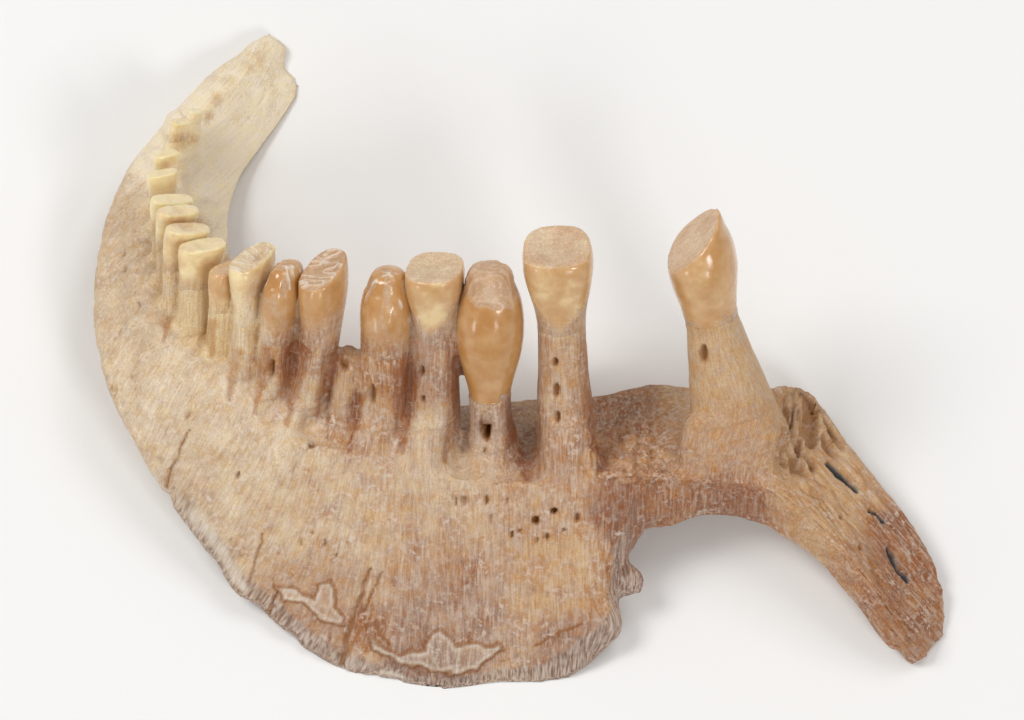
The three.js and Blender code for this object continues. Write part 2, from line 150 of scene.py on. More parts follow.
def turned_to_drawing(directions: Array) -> Array:
    """Turns directions in the part's frame into the drawing frame.

    Args:
        directions: directions, one row each.

    Returns:
        The same directions, one row each.
    """
    x, y, z = directions.T
    cos, sin = math.cos(REST_TILT), math.sin(REST_TILT)
    return np.column_stack([x, y * cos + z * sin, z * cos - y * sin])


def picture_places(drawing: Array) -> Array:
    """Where drawing places fall on the picture plane z = 0, in millimetres, seen by the camera."""
    nearer = 1 - drawing[:, 2:3] / CAMERA_PLACE[2]
    return drawing[:, :2] / nearer


def smooth(values: Array, low: float, high: float) -> Array:
    """Eases from 0 at low to 1 at high."""
    t = np.clip((values - low) / (high - low), 0, 1)
    return t * t * (3 - 2 * t)


def lattice_noise(points: Array, seed: int) -> Array:
    """Smooth noise over a unit lattice.

    Args:
        points: places, one row each, in lattice units.
        seed: picks one of many such patterns.

    Returns:
        One value between -1 and 1 for each place.
    """
    cell = np.floor(points).astype(np.int64)
    part = points - cell
    ease = part * part * (3 - 2 * part)
    total = np.zeros(len(points))
    for corner in range(8):
        step = np.array([corner & 1, corner >> 1 & 1, corner >> 2 & 1])
        mix = np.prod(np.where(step, ease, 1 - ease), axis=1)
        x, y, z = (cell + step).T
        key = (x * 73856093 ^ y * 19349663 ^ z * 83492791 ^ seed * 2654435761) & 0xFFFFFFFF
        key = ((key ^ key >> 15) * 2246822519) & 0xFFFFFFFF
        key = ((key ^ key >> 13) * 3266489917) & 0xFFFFFFFF
        total += mix * (key / 0x7FFFFFFF - 1)
    return total


def octaves(points: Array, seed: int, count: int = 3) -> Array:
    """Adds finer and weaker layers of lattice noise."""
    return sum(lattice_noise(points * 2**k, seed + k) / 2**k for k in range(count)) / 1.5


def rail(points: Array, station: Array) -> Array:
    """Places on the smooth curve through evenly counted points.

    Args:
        points: the curve's points, one row each.
        station: where each place lies, counted in points from the first.

    Returns:
        One place for each station.
    """
    last = len(points) - 1
    low = np.clip(np.floor(station).astype(int), 0, last - 1)
    t = (station - low)[:, None]
    before, start, end, after = (points[np.clip(low + k, 0, last)] for k in (-1, 0, 1, 2))
    return 0.5 * (
        2 * start
        + (end - before) * t
        + (2 * before - 5 * start + 4 * end - after) * t**2
        + (3 * start - before - 3 * end + after) * t**3
    )


def make_active(piece: Piece) -> None:
    """Selects one object alone and makes it the one that operators act on.

    Args:
        piece: the object.
    """
    bpy.ops.object.select_all(action="DESELECT")
    piece.select_set(True)
    bpy.context.view_layer.objects.active = piece


def finish_with(piece: Piece, kind: str, **settings: object) -> None:
    """Adds a modifier with its settings and applies it.

    Args:
        piece: the object.
        kind: the modifier's type.
        settings: the modifier's own settings.
    """
    make_active(piece)
    modifier = piece.modifiers.new(kind.lower(), kind)
    for name, value in settings.items():
        setattr(modifier, name, value)
    bpy.ops.object.modifier_apply(modifier=modifier.name)


@contextmanager
def editing(piece: Piece) -> Iterator[None]:
    """Opens an object's mesh for editing, with all of it selected.

    Args:
        piece: the object.

    Returns:
        Nothing for the block that edits, after which the mesh is closed again.
    """
    make_active(piece)
    bpy.ops.object.mode_set(mode="EDIT")
    bpy.ops.mesh.select_all(action="SELECT")
    yield
    bpy.ops.object.mode_set(mode="OBJECT")


def add_object(name: str, data: bpy.types.ID) -> Piece:
    """Puts an object with its data into the scene.

    Args:
        name: the object's name.
        data: its mesh, curve, light or camera.

    Returns:
        The object.
    """
    made = bpy.data.objects.new(name, data)
    bpy.context.collection.objects.link(made)
    return made


def keep_largest(piece: Piece) -> None:
    """Deletes all but the largest connected surface of a mesh.

    Args:
        piece: the object.
    """
    with editing(piece):
        bpy.ops.mesh.separate(type="LOOSE")
    for scrap in [one for one in bpy.context.selected_objects if one != piece]:
        if len(scrap.data.vertices) > len(piece.data.vertices):
            piece.data, scrap.data = scrap.data, piece.data
        bpy.data.objects.remove(scrap)


def read_places(piece: Piece) -> Array:
    """The places of a mesh's vertices, one row each.

    Args:
        piece: the object.

    Returns:
        One place for each vertex, in metres.
    """
    flat = np.empty(len(piece.data.vertices) * 3)
    piece.data.vertices.foreach_get("co", flat)
    return flat.reshape(-1, 3)


def read_normals(piece: Piece) -> Array:
    """The outward directions of a mesh's vertices, one row each.

    Args:
        piece: the object.

    Returns:
        One unit direction for each vertex.
    """
    flat = np.empty(len(piece.data.vertices) * 3)
    piece.data.vertex_normals.foreach_get("vector", flat)
    return flat.reshape(-1, 3)


def write_places(piece: Piece, places: Array) -> None:
    """Moves a mesh's vertices."""
    piece.data.vertices.foreach_set("co", places.ravel())
    piece.data.update()


def write_attribute(piece: Piece, name: str, values: Array) -> None:
    """Keeps one number or one vector for each vertex, for the material to read.

    Args:
        piece: the object.
        name: the attribute's name.
        values: one number or one row of three for each vertex.
    """
    kind, key = ("FLOAT", "value") if values.ndim == 1 else ("FLOAT_VECTOR", "vector")
    attribute = piece.data.attributes.new(name, kind, "POINT")
    attribute.data.foreach_set(key, values.astype(np.float32).ravel())


class Wear(Enum):
    """How the top of a crown is worn."""

    FACET = "flat"
    CUP = "hollow inside a rim"
    CAP = "rounded and rough"
    RIDGED = "crossed by wavy ridges"
    STREAKED = "smooth with rough pale streaks"


@dataclass(frozen=True)
class Tooth:
    """A tooth in the drawing frame, in millimetres, from its base to its worn face.

    A level on its axis is 0 at the root, 1 at the base, 2 at the neck, 3 at the worn face and 4
    at the crest that is worn away. wide is the size along the row and deep the size across it,
    each at the base, the neck and the crown. across points from the front of the row to its
    back. belly is the height in the crown where it is widest, crest how far it would rise past
    its worn face, and face that face's slope in degrees, towards the front and towards the
    ventral side. amber says how far the crown has darkened, wear how rough its face is, flare
    how steeply the stalk widens to its base, vee how far the crown's lower border rises from
    the front to the sides, and cleft how deep a groove parts its face in two.
    """

    name: str
    base: Triple
    neck: Triple
    top: Triple
    across: Triple
    wide: Triple
    deep: Triple
    belly: float
    crest: float
    face: Pair
    amber: float = 0.35
    wear: float = 0.6
    crowned: bool = True
    flare: float = 2.0
    worn: Wear = Wear.CUP
    vee: float = 0.0
    cleft: float = 0.0

    ROOT_SINK = 2.0
    STEP = 0.02

    def rail_points(self) -> Array:
        """Root, base, neck, top and crest, one row each.

        Returns:
            Five places in the drawing frame.
        """
        base, neck, top = (np.array(place, float) for place in (self.base, self.neck, self.top))
        down = (base - neck) / np.linalg.norm(base - neck)
        root, crest = base + down * self.ROOT_SINK, top + (top - neck) * self.crest
        return np.array([root, base, neck, top, crest])

    def axis(self, level: Array) -> Array:
        """Places on the tooth's axis, from 0 at the root to 4 at the crest worn away."""
        return rail(self.rail_points(), np.asarray(level, float))

    def sides(self, level: Array) -> tuple[Array, Array, Array]:
        """Unit directions along the row, to the rear and up the axis at each level.

        Args:
            level: levels on the axis.

        Returns:
            The three directions, one row for each level.
        """
        low, high = np.clip(level - self.STEP, 0, 4), np.clip(level + self.STEP, 0, 4)
        up = self.axis(high) - self.axis(low)
        up /= np.linalg.norm(up, axis=1)[:, None]
        rear = np.array(self.across, float)
        rear = rear - (up @ rear)[:, None] * up
        rear /= np.linalg.norm(rear, axis=1)[:, None]
        return np.cross(rear, up), rear, up

    def half(self, sizes: Triple, level: Array) -> Array:
        """Half the tooth's size at each level, from its sizes at the base, neck and crown.

        Args:
            sizes: its sizes at the base, the neck and the crown.
            level: levels on the axis.

        Returns:
            One half size for each level, in millimetres.
        """
        base, neck, crown = (size / 2 for size in sizes)
        stalk = neck + (base - neck) * np.clip(2 - level, 0, 1) ** self.flare
        height = np.where(level < 3, level - 2, 1 + (level - 3) * self.crest)
        swell = neck + (crown - neck) * smooth(height, 0, self.belly)
        past = np.clip((height - self.belly) / (1 + self.crest - self.belly), 0, 1)
        crown_size = np.where(height < self.belly, swell, crown * np.sqrt(1 - past**2))
        return np.where(level < 2, stalk, crown_size)

    def worn_plane(self) -> tuple[Array, Array]:
        """A place on the worn face and its outward direction, in the drawing frame.

        Returns:
            The place and the unit direction.
        """
        along, rear, up = (side[0] for side in self.sides(np.array([3.0])))
        front, side = (math.tan(math.radians(angle)) for angle in self.face)
        normal = up - rear * front + along * side
        return np.array(self.top, float), normal / np.linalg.norm(normal)


TEETH = (
    Tooth("molar_1", (13.3, -4.7, -2.8), (11.5, 2.5, 1.5), (10.6, 7.7, 4.4), (0.1, 0.5, -0.85),
          (6.2, 3.2, 4.2), (5.2, 3.2, 4.6), 0.6, 0.3, (14, -36), 0.6, 0.45, flare=1.1, worn=Wear.FACET,
          vee=0.4),
    Tooth("molar_2", (2.8, -5.0, -2.8), (2.5, 2.0, 1.1), (2.2, 7.0, 4.1), (0, 0.5, -0.85),
          (3.8, 2.9, 4.3), (4.4, 3.0, 3.9), 0.75, 0.4, (14, 0), 0.45, 0.5, flare=1.6, vee=1.2),
    Tooth("molar_3", (-1.6, -5.3, -2.8), (-1.8, -2.1, -0.9), (-1.8, 4.5, 3.0), (0.1, 0.5, -0.85),
          (3.4, 2.5, 4.2), (4.6, 3.0, 4.0), 0.6, 0.2, (16, 6), 0.85, 1.45, worn=Wear.CAP),
    Tooth("molar_4", (-5.1, -5.2, -2.8), (-5.1, 1.7, 1.0), (-5.1, 5.7, 3.3), (0.2, 0.48, -0.85),
          (3.2, 2.8, 3.5), (4.4, 2.8, 3.8), 0.85, 0.6, (3, -4), 0.4, 0.5, vee=1.8),
    Tooth("tooth_5", (-8.2, -4.8, -2.8), (-8.0, 0.6, 0.4), (-7.9, 4.6, 2.5), (0.3, 0.45, -0.82),
          (3.1, 3.2, 3.2), (4.0, 2.8, 3.8), 0.55, 0.25, (28, 12), 0.8, 0.7, worn=Wear.STREAKED),
    Tooth("stub", (-10.7, -4.2, -2.8), (-10.4, -1.2, -0.9), (-10.3, 0.6, 0.1), (0.38, 0.42, -0.82),
          (2.2, 1.7, 1.4), (3.0, 2.0, 1.9), 0.4, 0.5, (20, 20), crowned=False),
    Tooth("tooth_6", (-12.8, -3.2, -2.8), (-12.0, 1.2, 0.5), (-11.7, 5.7, 2.7), (0.45, 0.4, -0.8),
          (2.0, 2.3, 2.6), (3.6, 2.6, 3.8), 0.75, 0.5, (22, -12), 0.75, 0.9, worn=Wear.RIDGED, vee=0.8),
    Tooth("tooth_7", (-14.8, -2.5, -2.9), (-14.5, 1.4, 0.2), (-14.0, 5.0, 2.0), (0.5, 0.38, -0.78),
          (2.2, 2.0, 2.1), (3.4, 2.6, 3.6), 0.7, 0.28, (26, 4), 0.8, 1.0, worn=Wear.STREAKED),
    Tooth("tooth_8", (-16.5, -1.6, -3.2), (-16.3, 2.6, -0.1), (-16.0, 6.4, 1.6), (0.6, 0.35, -0.72),
          (1.9, 1.6, 2.1), (3.2, 2.1, 3.5), 0.8, 0.5, (16, -6), 0.15, 0.8, worn=Wear.RIDGED,
          vee=1.2, cleft=0.4),
    Tooth("tooth_9", (-18.0, -0.6, -3.6), (-17.8, 3.2, -0.6), (-17.5, 5.7, 0.8), (0.75, 0.25, -0.6),
          (1.7, 1.4, 1.5), (3.0, 2.0, 2.5), 0.7, 0.5, (5, 0), 0.4, 0.25),
    Tooth("tooth_10", (-19.6, 1.0, -3.9), (-19.5, 4.6, -1.2), (-19.0, 7.1, 0.4), (0.9, 0.12, -0.4),
          (1.7, 1.4, 1.4), (3.0, 2.1, 3.0), 0.85, 0.5, (6, 0), 0.1, 0.2),
    Tooth("tooth_11", (-20.5, 2.5, -4.4), (-20.6, 5.7, -1.9), (-19.9, 8.1, -0.3), (0.88, 0.22, -0.3),
          (1.4, 1.2, 1.3), (2.6, 2.0, 2.9), 0.85, 0.5, (0, 0), 0.15, 0.2),
    Tooth("tooth_12", (-21.0, 3.9, -5.1), (-21.1, 7.0, -2.8), (-20.5, 9.2, -1.3), (0.86, 0.3, -0.3),
          (1.3, 1.0, 1.2), (2.4, 1.9, 2.8), 0.85, 0.5, (0, 0), 0.15, 0.2),
    Tooth("tooth_13", (-21.3, 5.2, -5.8), (-21.5, 8.0, -3.7), (-20.9, 9.9, -2.4), (0.88, 0.22, -0.3),
          (1.2, 0.9, 1.2), (2.2, 1.7, 2.8), 0.85, 0.5, (0, 0), 0.0, 0.15),
    Tooth("tooth_14", (-21.4, 7.1, -6.9), (-21.6, 9.8, -5.1), (-21.6, 11.5, -4.0), (0.9, 0.12, -0.35),
          (1.2, 0.9, 0.9), (2.1, 1.7, 2.0), 0.8, 0.5, (0, 0), -0.05, 0.15),
    Tooth("tooth_15", (-21.3, 8.8, -7.9), (-21.5, 11.2, -6.4), (-21.4, 12.7, -5.5), (0.88, 0.22, -0.4),
          (1.1, 0.8, 0.8), (1.9, 1.5, 1.7), 0.8, 0.5, (0, 0), -0.05, 0.15),
    Tooth("tooth_16", (-20.9, 11.7, -9.4), (-20.8, 13.6, -8.4), (-20.6, 14.7, -7.8), (0.85, 0.25, -0.45),
          (1.0, 0.8, 0.8), (1.6, 1.3, 1.3), 0.8, 0.5, (0, 0), 0.1, 0.15),
    Tooth("tooth_17", (-20.1, 13.1, -10.3), (-19.9, 14.6, -9.6), (-19.7, 15.4, -9.2), (0.82, 0.3, -0.45),
          (0.9, 0.7, 0.7), (1.4, 1.1, 1.0), 0.8, 0.5, (0, 0), 0.0, 0.15),
)


def stalk_grain(numbers: Array, drawing: Array, beside: Array) -> Array:
    """Places counted across, along and through the fibres of the teeth, in millimetres.

    Args:
        numbers: which tooth each place belongs to.
        drawing: places in the drawing frame.
        beside: their offsets along the row and to the rear of the tooth's axis.

    Returns:
        One row for each place.
    """
    bases = np.array([tooth.base for tooth in TEETH], float)
    up = np.array([tooth.neck for tooth in TEETH], float) - bases
    up /= np.linalg.norm(up, axis=1)[:, None]
    along = ((drawing - bases[numbers]) * up[numbers]).sum(1)
    return np.column_stack([beside[:, 0], along, beside[:, 1]]) + TOOTH_SHIFT * numbers[:, None]


class ArchPlaces:
    """Where each point of a surface lies on the arch: its section, its tooth and its grain."""

    SECTIONS = 220
    AXIS_STEPS = 41
    CHUNK = 20000
    TOOTH_REACH = 4
    LEAST_RADIUS = 0.2
    FARTHEST = 1e3
    # From this level up a stalk's fibres follow its own axis
    STALK_GRAIN_LEVEL = 1.35
    # How far the fibres lean from the drawing's y axis, in radians
    WING_LEAN, BEND_LEAN, LIMB_DROOP, MOLAR_DROOP = 0.50, 0.3, 0.66, 0.22
    WING_END = 5

    def __init__(self, drawing: Array) -> None:
        """Works out the places of all points.

        Args:
            drawing: places in the drawing frame, one row each.
        """
        self.drawing = drawing
        self.picture = picture_places(drawing)
        self.station, self.across, self.reach = self._sections()
        self.tooth, self.level, self.closeness, self.beside = self._teeth()
        self.on_tooth = smooth(1.7 - self.closeness, 0, 0.5) * smooth(self.level, 0.8, 1.3)
        self.grain = self._grain()

    def _sections(self) -> tuple[Array, Array, Array]:
        """Station of the nearest section, distance from the ridge in it and its full reach.

        Returns:
            Three values for each place.
        """
        stations = np.linspace(0, len(RIDGE) - 1, self.SECTIONS)
        start, end = rail(RIDGE, stations)[:, :2], rail(EDGE, stations)[:, :2]
        span = end - start
        length = np.linalg.norm(span, axis=1)
        found = np.empty((3, len(self.drawing)))
        for low in range(0, len(self.drawing), self.CHUNK):
            rows = slice(low, low + self.CHUNK)
            gap = self.drawing[rows, None, :2] - start[None]
            share = np.clip((gap * span).sum(2) / length**2, 0, 1)
            away = ((gap - share[..., None] * span) ** 2).sum(2)
            best = away.argmin(1)
            along = (gap[np.arange(len(best)), best] * span[best]).sum(1) / length[best]
            found[:, rows] = stations[best], along, length[best]
        return found[0], found[1], found[2]

    def _teeth(self) -> tuple[Array, Array, Array, Array]:
        """Nearest tooth, level on its axis, distance in tooth radii and offset from the axis.

        Returns:
            The four, with one row for each place.
        """
        count = len(self.drawing)
        tooth = np.zeros(count, int)
        level = np.zeros(count)
        closeness = np.full(count, self.FARTHEST)
        beside = np.zeros((count, 3))
        levels = np.linspace(0, 4, self.AXIS_STEPS)
        for number, one in enumerate(TEETH):
            axis = one.axis(levels)
            low, high = axis.min(0) - self.TOOTH_REACH, axis.max(0) + self.TOOTH_REACH
            near = np.flatnonzero(((self.drawing > low) & (self.drawing < high)).all(1))
            gap = self.drawing[near, None] - axis[None]
            best = (gap**2).sum(2).argmin(1)
            here = levels[best]
            along, rear, up = one.sides(here)
            offset = gap[np.arange(len(near)), best]
            flat = np.column_stack([(offset * side).sum(1) for side in (along, rear, up)])
            size = np.column_stack([one.half(sizes, here) for sizes in (one.wide, one.deep)])
            size = np.maximum(size, self.LEAST_RADIUS)
            away = np.hypot(flat[:, 0] / size[:, 0], flat[:, 1] / size[:, 1])
            away += np.abs(flat[:, 2]) * (np.abs(flat[:, 2]) > 0.5)
            closer = away < closeness[near]
            rows = near[closer]
            tooth[rows], level[rows] = number, here[closer]
            closeness[rows], beside[rows] = away[closer], flat[closer]
        return tooth, level, closeness, beside

    def _grain(self) -> Array:
        """Places counted across, along and through the fibres, in millimetres.

        Returns:
            One row for each place.
        """
        x, y, z = self.drawing.T
        lean = -self.WING_LEAN * (1 - smooth(x, -20, -4)) - self.BEND_LEAN * smooth(y, 6, 16) * (x < -8)
        droop = self.LIMB_DROOP * smooth(x, 14, 19)
        droop = droop - self.MOLAR_DROOP * smooth(y, -7, -2) * smooth(x, 8, 11)
        turn = np.where(x < self.WING_END, lean, droop)
        pivot = np.where(x < self.WING_END, -8.0, 14.0)
        dx, dy = x - pivot, y + 8
        across = dx * np.cos(turn) + dy * np.sin(turn) + pivot
        along = dy * np.cos(turn) - dx * np.sin(turn)
        share = np.clip(self.across / self.reach, 0, 1)
        front = rail(RIDGE, self.station)[:, 2]
        front = front + (rail(EDGE, self.station)[:, 2] - front) * share
        bone = np.column_stack([across, along, z - front])
        stalk = stalk_grain(self.tooth, self.drawing, self.beside)
        on_stalk = (self.on_tooth > 0.5) & (self.level > self.STALK_GRAIN_LEVEL)
        return np.where(on_stalk[:, None], stalk, bone)


@dataclass(frozen=True)
class Pit:
    """A pore or foramen at a place on the picture plane, in millimetres, turned in degrees."""

    x: float
    y: float
    half_width: float
    half_height: float
    depth: float
    turn: float = 0.0

    def share(self, picture: Array) -> Array:
        """How deep each place lies in the pit, from 0 outside it to 1 at its floor.

        Args:
            picture: places on the picture plane.

        Returns:
            One share for each place.
        """
        turn = math.radians(self.turn)
        dx, dy = picture[:, 0] - self.x, picture[:, 1] - self.y
        wide = (dx * math.cos(turn) - dy * math.sin(turn)) / self.half_width
        high = (dx * math.sin(turn) + dy * math.cos(turn)) / self.half_height
        return 1 - smooth(np.hypot(wide, high), 0.55, 1.25)


@dataclass(frozen=True)
class Line:
    """A crack, growth edge or stain along places on the picture plane, in millimetres."""

    places: tuple[Pair, ...]
    start_width: float
    end_width: float
    depth: float = 0.0
    closed: bool = False

    WIDER = 2.4

    def share(self, picture: Array) -> Array:
        """How near each place lies to the line, from 0 outside its width to 1 on it.

        Args:
            picture: places on the picture plane.

        Returns:
            One share for each place.
        """
        points = np.array(self.places + self.places[:1] if self.closed else self.places)
        nearest = np.zeros(len(picture))
        steps = len(points) - 1
        for number, (start, end) in enumerate(zip(points, points[1:])):
            span = end - start
            along = np.clip((picture - start) @ span / (span @ span), 0, 1)
            away = np.linalg.norm(picture - start - along[:, None] * span, axis=1)
            part = (number + along) / steps
            width = self.start_width + (self.end_width - self.start_width) * part
            nearest = np.maximum(nearest, 1 - smooth(away / width, 0.35, 1.1))
        return nearest

    def near(self, picture: Array) -> Array:
        """How near each place lies to the line, read over more than twice its width."""
        widths = (self.WIDER * self.start_width, self.WIDER * self.end_width)
        return Line(self.places, *widths, closed=self.closed).share(picture)

    def holds(self, picture: Array) -> Array:
        """True where a place lies inside the closed line.

        Args:
            picture: places on the picture plane.

        Returns:
            One answer for each place.
        """
        inside = np.zeros(len(picture), bool)
        points = np.array(self.places)
        for start, end in zip(points, np.roll(points, -1, axis=0)):
            rises = (start[1] > picture[:, 1]) != (end[1] > picture[:, 1])
            slope = (end[0] - start[0]) / (end[1] - start[1] or 1e-9)
            inside ^= rises & (picture[:, 0] < start[0] + slope * (picture[:, 1] - start[1]))
        return inside


@dataclass(frozen=True)
class Dent:
    """A place on the picture plane round which the bone is pushed aside, in millimetres."""

    x: float
    y: float
    radius: float
    push_x: float
    push_y: float

    def shift(self, picture: Array) -> Array:
        """How far each place moves, in the drawing frame."""
        away = np.hypot(picture[:, 0] - self.x, picture[:, 1] - self.y) / self.radius
        return (1 - smooth(away, 0, 1))[:, None] * np.array([self.push_x, self.push_y, 0])


@dataclass(frozen=True)
class Stain:
    """A stained area round a place on the picture plane: how dark, and how orange, it is."""

    x: float
    y: float
    radius: float
    dark: float
    ochre: float


# Each row: place on the picture plane, half width, half height, depth, and turn in degrees
FORAMINA = tuple(Pit(*row) for row in (
    (10.98, 0.45, 0.24, 0.60, 0.55), (2.10, -0.03, 0.18, 0.28, 0.5), (2.16, -1.71, 0.20, 0.45, 0.5),
    (2.22, -3.27, 0.16, 0.34, 0.5), (-2.07, -3.93, 0.34, 0.78, 2.0), (-2.16, -5.25, 0.16, 0.17, 0.4),
    (-5.94, -0.57, 0.16, 0.34, 0.5), (-5.88, -2.25, 0.14, 0.26, 0.4), (-8.94, -1.95, 0.21, 0.62, 0.5),
    (-10.5, -0.15, 0.30, 0.50, 0.6), (-12.72, 0.33, 0.15, 0.20, 0.3), (-14.88, -0.45, 0.19, 0.60, 0.55),
    (-12.48, -4.83, 0.20, 0.48, 0.5, 27), (-11.58, -3.21, 0.11, 0.22, 0.3),
    (-11.52, -4.29, 0.11, 0.16, 0.3), (-17.04, -6.87, 0.13, 0.30, 0.35, 12),
    (-20.1, -3.21, 0.11, 0.32, 0.3, 25), (-3.36, -8.37, 0.24, 0.32, 0.4),
    (-3.85, -8.42, 0.09, 0.30, 0.4), (-1.98, -8.31, 0.12, 0.32, 0.5), (-0.78, -8.31, 0.10, 0.16, 0.3),
    (-1.74, -9.45, 0.13, 0.32, 0.25), (0.96, -9.57, 0.23, 0.27, 0.8), (2.04, -8.97, 0.20, 0.20, 0.8),
    (3.48, -9.39, 0.13, 0.30, 0.5), (-0.48, -10.41, 0.12, 0.22, 0.6), (0.0, -10.17, 0.10, 0.11, 0.4),
    (1.62, -10.53, 0.15, 0.23, 0.5), (2.64, -10.11, 0.12, 0.14, 0.4), (1.08, -10.71, 0.12, 0.16, 0.35),
    (-1.38, -7.23, 0.10, 0.12, 0.3), (-11.76, -10.89, 0.11, 0.24, 0.35),
    (-13.2, -10.89, 0.10, 0.22, 0.25), (-11.1, -11.67, 0.10, 0.13, 0.3),
    (-12.54, -10.29, 0.11, 0.13, 0.25), (0.84, -13.83, 0.08, 0.42, 0.3),
    (1.68, -14.13, 0.08, 0.26, 0.25), (-23.88, 6.57, 0.10, 0.16, 0.3, 30),
    (-23.94, 5.79, 0.09, 0.14, 0.3, 30), (-23.04, 3.51, 0.10, 0.15, 0.3, 30),
    (-24.72, 5.31, 0.08, 0.12, 0.25, 30), (-24.48, 1.47, 0.08, 0.12, 0.25, 30),
    (-23.4, 4.35, 0.08, 0.14, 0.25, 30), (19.44, -9.09, 0.13, 0.16, 0.4),
    (20.58, -10.95, 0.14, 0.17, 0.4),
))
CRACKS = (
    Line(((-10.74, -18.3), (-10.26, -16.23), (-9.84, -15.03), (-9.48, -13.71), (-9.06, -12.4)),
         0.24, 0.10, 0.22),
    Line(((-9.36, -15.03), (-9.1, -14.3), (-8.82, -13.71), (-8.4, -12.63)), 0.10, 0.09, 0.16),
    Line(((-21.4, -7.7), (-21.0, -6.45), (-20.52, -5.37), (-20.04, -4.1)), 0.12, 0.06, 0.16),
    Line(((-16.14, -12.93), (-15.8, -11.5), (-15.36, -10.23)), 0.09, 0.07, 0.14),
    Line(((-15.1, -15.3), (-14.82, -13.83)), 0.16, 0.08, 0.2),
)
# Each row: place, radius, and how far the bone is pushed along x and y
DENTS = tuple(Dent(*row) for row in (
    (-13.8, 17.8, 0.9, -0.22, -0.15), (-14.2, 18.9, 0.8, 0.12, 0.06), (5.2, -15.9, 2.2, 0.70, 0.0),
    (9.0, -9.3, 2.0, 0.0, -0.55), (-14.9, 19.6, 1.0, 0.10, 0.12), (-16.1, 19.3, 1.2, -0.14, 0.14),
    (-4.8, -19.2, 4.0, 0.0, -0.50), (-16.8, -13.2, 2.0, -0.32, -0.38), (-21.2, -8.2, 0.7, 0.15, 0.22),
    (-25.4, 0.4, 0.8, 0.14, 0.0), (-13.6, -16.6, 0.8, 0.10, 0.18), (14.9, -9.9, 1.2, 0.10, 0.16),
    (22.6, -17.6, 0.8, 0.16, 0.2), (25.0, -12.9, 0.9, -0.16, -0.1),
))
# Each row: middle and half sizes, in the drawing frame
SHARDS = (
    ((6.5, -13.1, -2.9), (0.95, 0.95, 0.5)), ((6.1, -11.3, -2.9), (0.45, 0.5, 0.35)),
    ((5.6, -12.2, -2.9), (0.7, 1.6, 0.5)),
)
# Thin layers of new bone, with closed outlines
GROWTH_PLATES = (
    Line(((-14.82, -13.47), (-14.28, -14.37), (-13.08, -14.43), (-12.12, -15.45), (-10.56, -15.87),
          (-10.56, -15.33), (-11.22, -14.79), (-11.04, -13.71), (-11.46, -13.17), (-12.12, -13.47),
          (-12.42, -14.25), (-13.32, -13.71), (-14.16, -13.59)), 0.16, 0.16, 0.07, True),
    Line(((-9.24, -16.41), (-8.82, -17.19), (-7.98, -17.73), (-7.2, -18.09), (-6.12, -18.03),
          (-5.04, -18.27), (-2.64, -18.39), (-1.98, -17.85), (-0.96, -17.31), (-1.2, -17.01),
          (-2.16, -17.07), (-2.82, -16.77), (-4.02, -16.83), (-4.26, -16.41), (-4.8, -16.05),
          (-5.22, -16.17), (-5.76, -17.07), (-6.6, -17.25), (-7.32, -17.55), (-8.1, -17.25)),
         0.16, 0.16, 0.09, True),
)
# Strips of the border where the surface has flaked off pale
FLAKES = (
    Line(((-19.56, -9.27), (-18.3, -10.95), (-17.3, -12.15), (-16.3, -13.3)), 0.55, 0.3),
    Line(((-22.9, -6.1), (-22.2, -7.2), (-21.3, -7.9)), 0.25, 0.2),
    Line(((-8.3, -18.7), (-7.2, -18.9)), 0.3, 0.3),
)
GROWTH_EDGES = (
    Line(((0.96, -17.01), (1.86, -16.53), (2.64, -16.11), (3.48, -15.87)), 0.14, 0.12),
    Line(((-9.24, -15.9), (-8.7, -15.6), (-8.5, -16.4), (-7.9, -16.9)), 0.20, 0.12),
)
# Narrow slits between the shards of the lower limb, carved in and coloured near black
DARK_SLITS = (
    Line(((18.72, -6.03), (19.6, -6.9), (20.4, -7.59)), 0.32, 0.22, 0.25),
    Line(((21.12, -8.73), (22.02, -9.45)), 0.14, 0.12, 0.15),
    Line(((22.32, -11.01), (22.8, -12.2), (23.52, -12.99)), 0.18, 0.16, 0.2),
)
# The gaps between neighbouring stalks, from their crowns down to the bone, where the bone is painted darker
# and more orange: partly stain, partly painted shade
GAP_STAIN_AND_SHADE_LINES = (
    Line(((-21.2, 2.6), (-21.4, 1.2)), 0.5, 0.2), Line(((-18.6, 2.2), (-18.5, 0.4)), 0.6, 0.2),
    Line(((-17.0, 0.4), (-17.5, -2.1)), 0.6, 0.2), Line(((-15.3, 0.6), (-15.8, -2.9)), 0.7, 0.25),
    Line(((-13.2, 0.6), (-14.0, -3.7)), 0.9, 0.25), Line(((-11.1, 0.3), (-12.2, -3.2)), 0.8, 0.25),
    Line(((-9.8, -2.2), (-10.3, -5.2)), 0.5, 0.2), Line(((-6.8, -0.9), (-7.2, -5.2)), 1.0, 0.25),
    Line(((-3.6, -0.9), (-4.3, -5.8)), 1.0, 0.25), Line(((0.6, -2.9), (0.3, -6.6)), 0.9, 0.4),
    Line(((4.7, -3.3), (5.1, -6.2)), 0.8, 0.4),
)
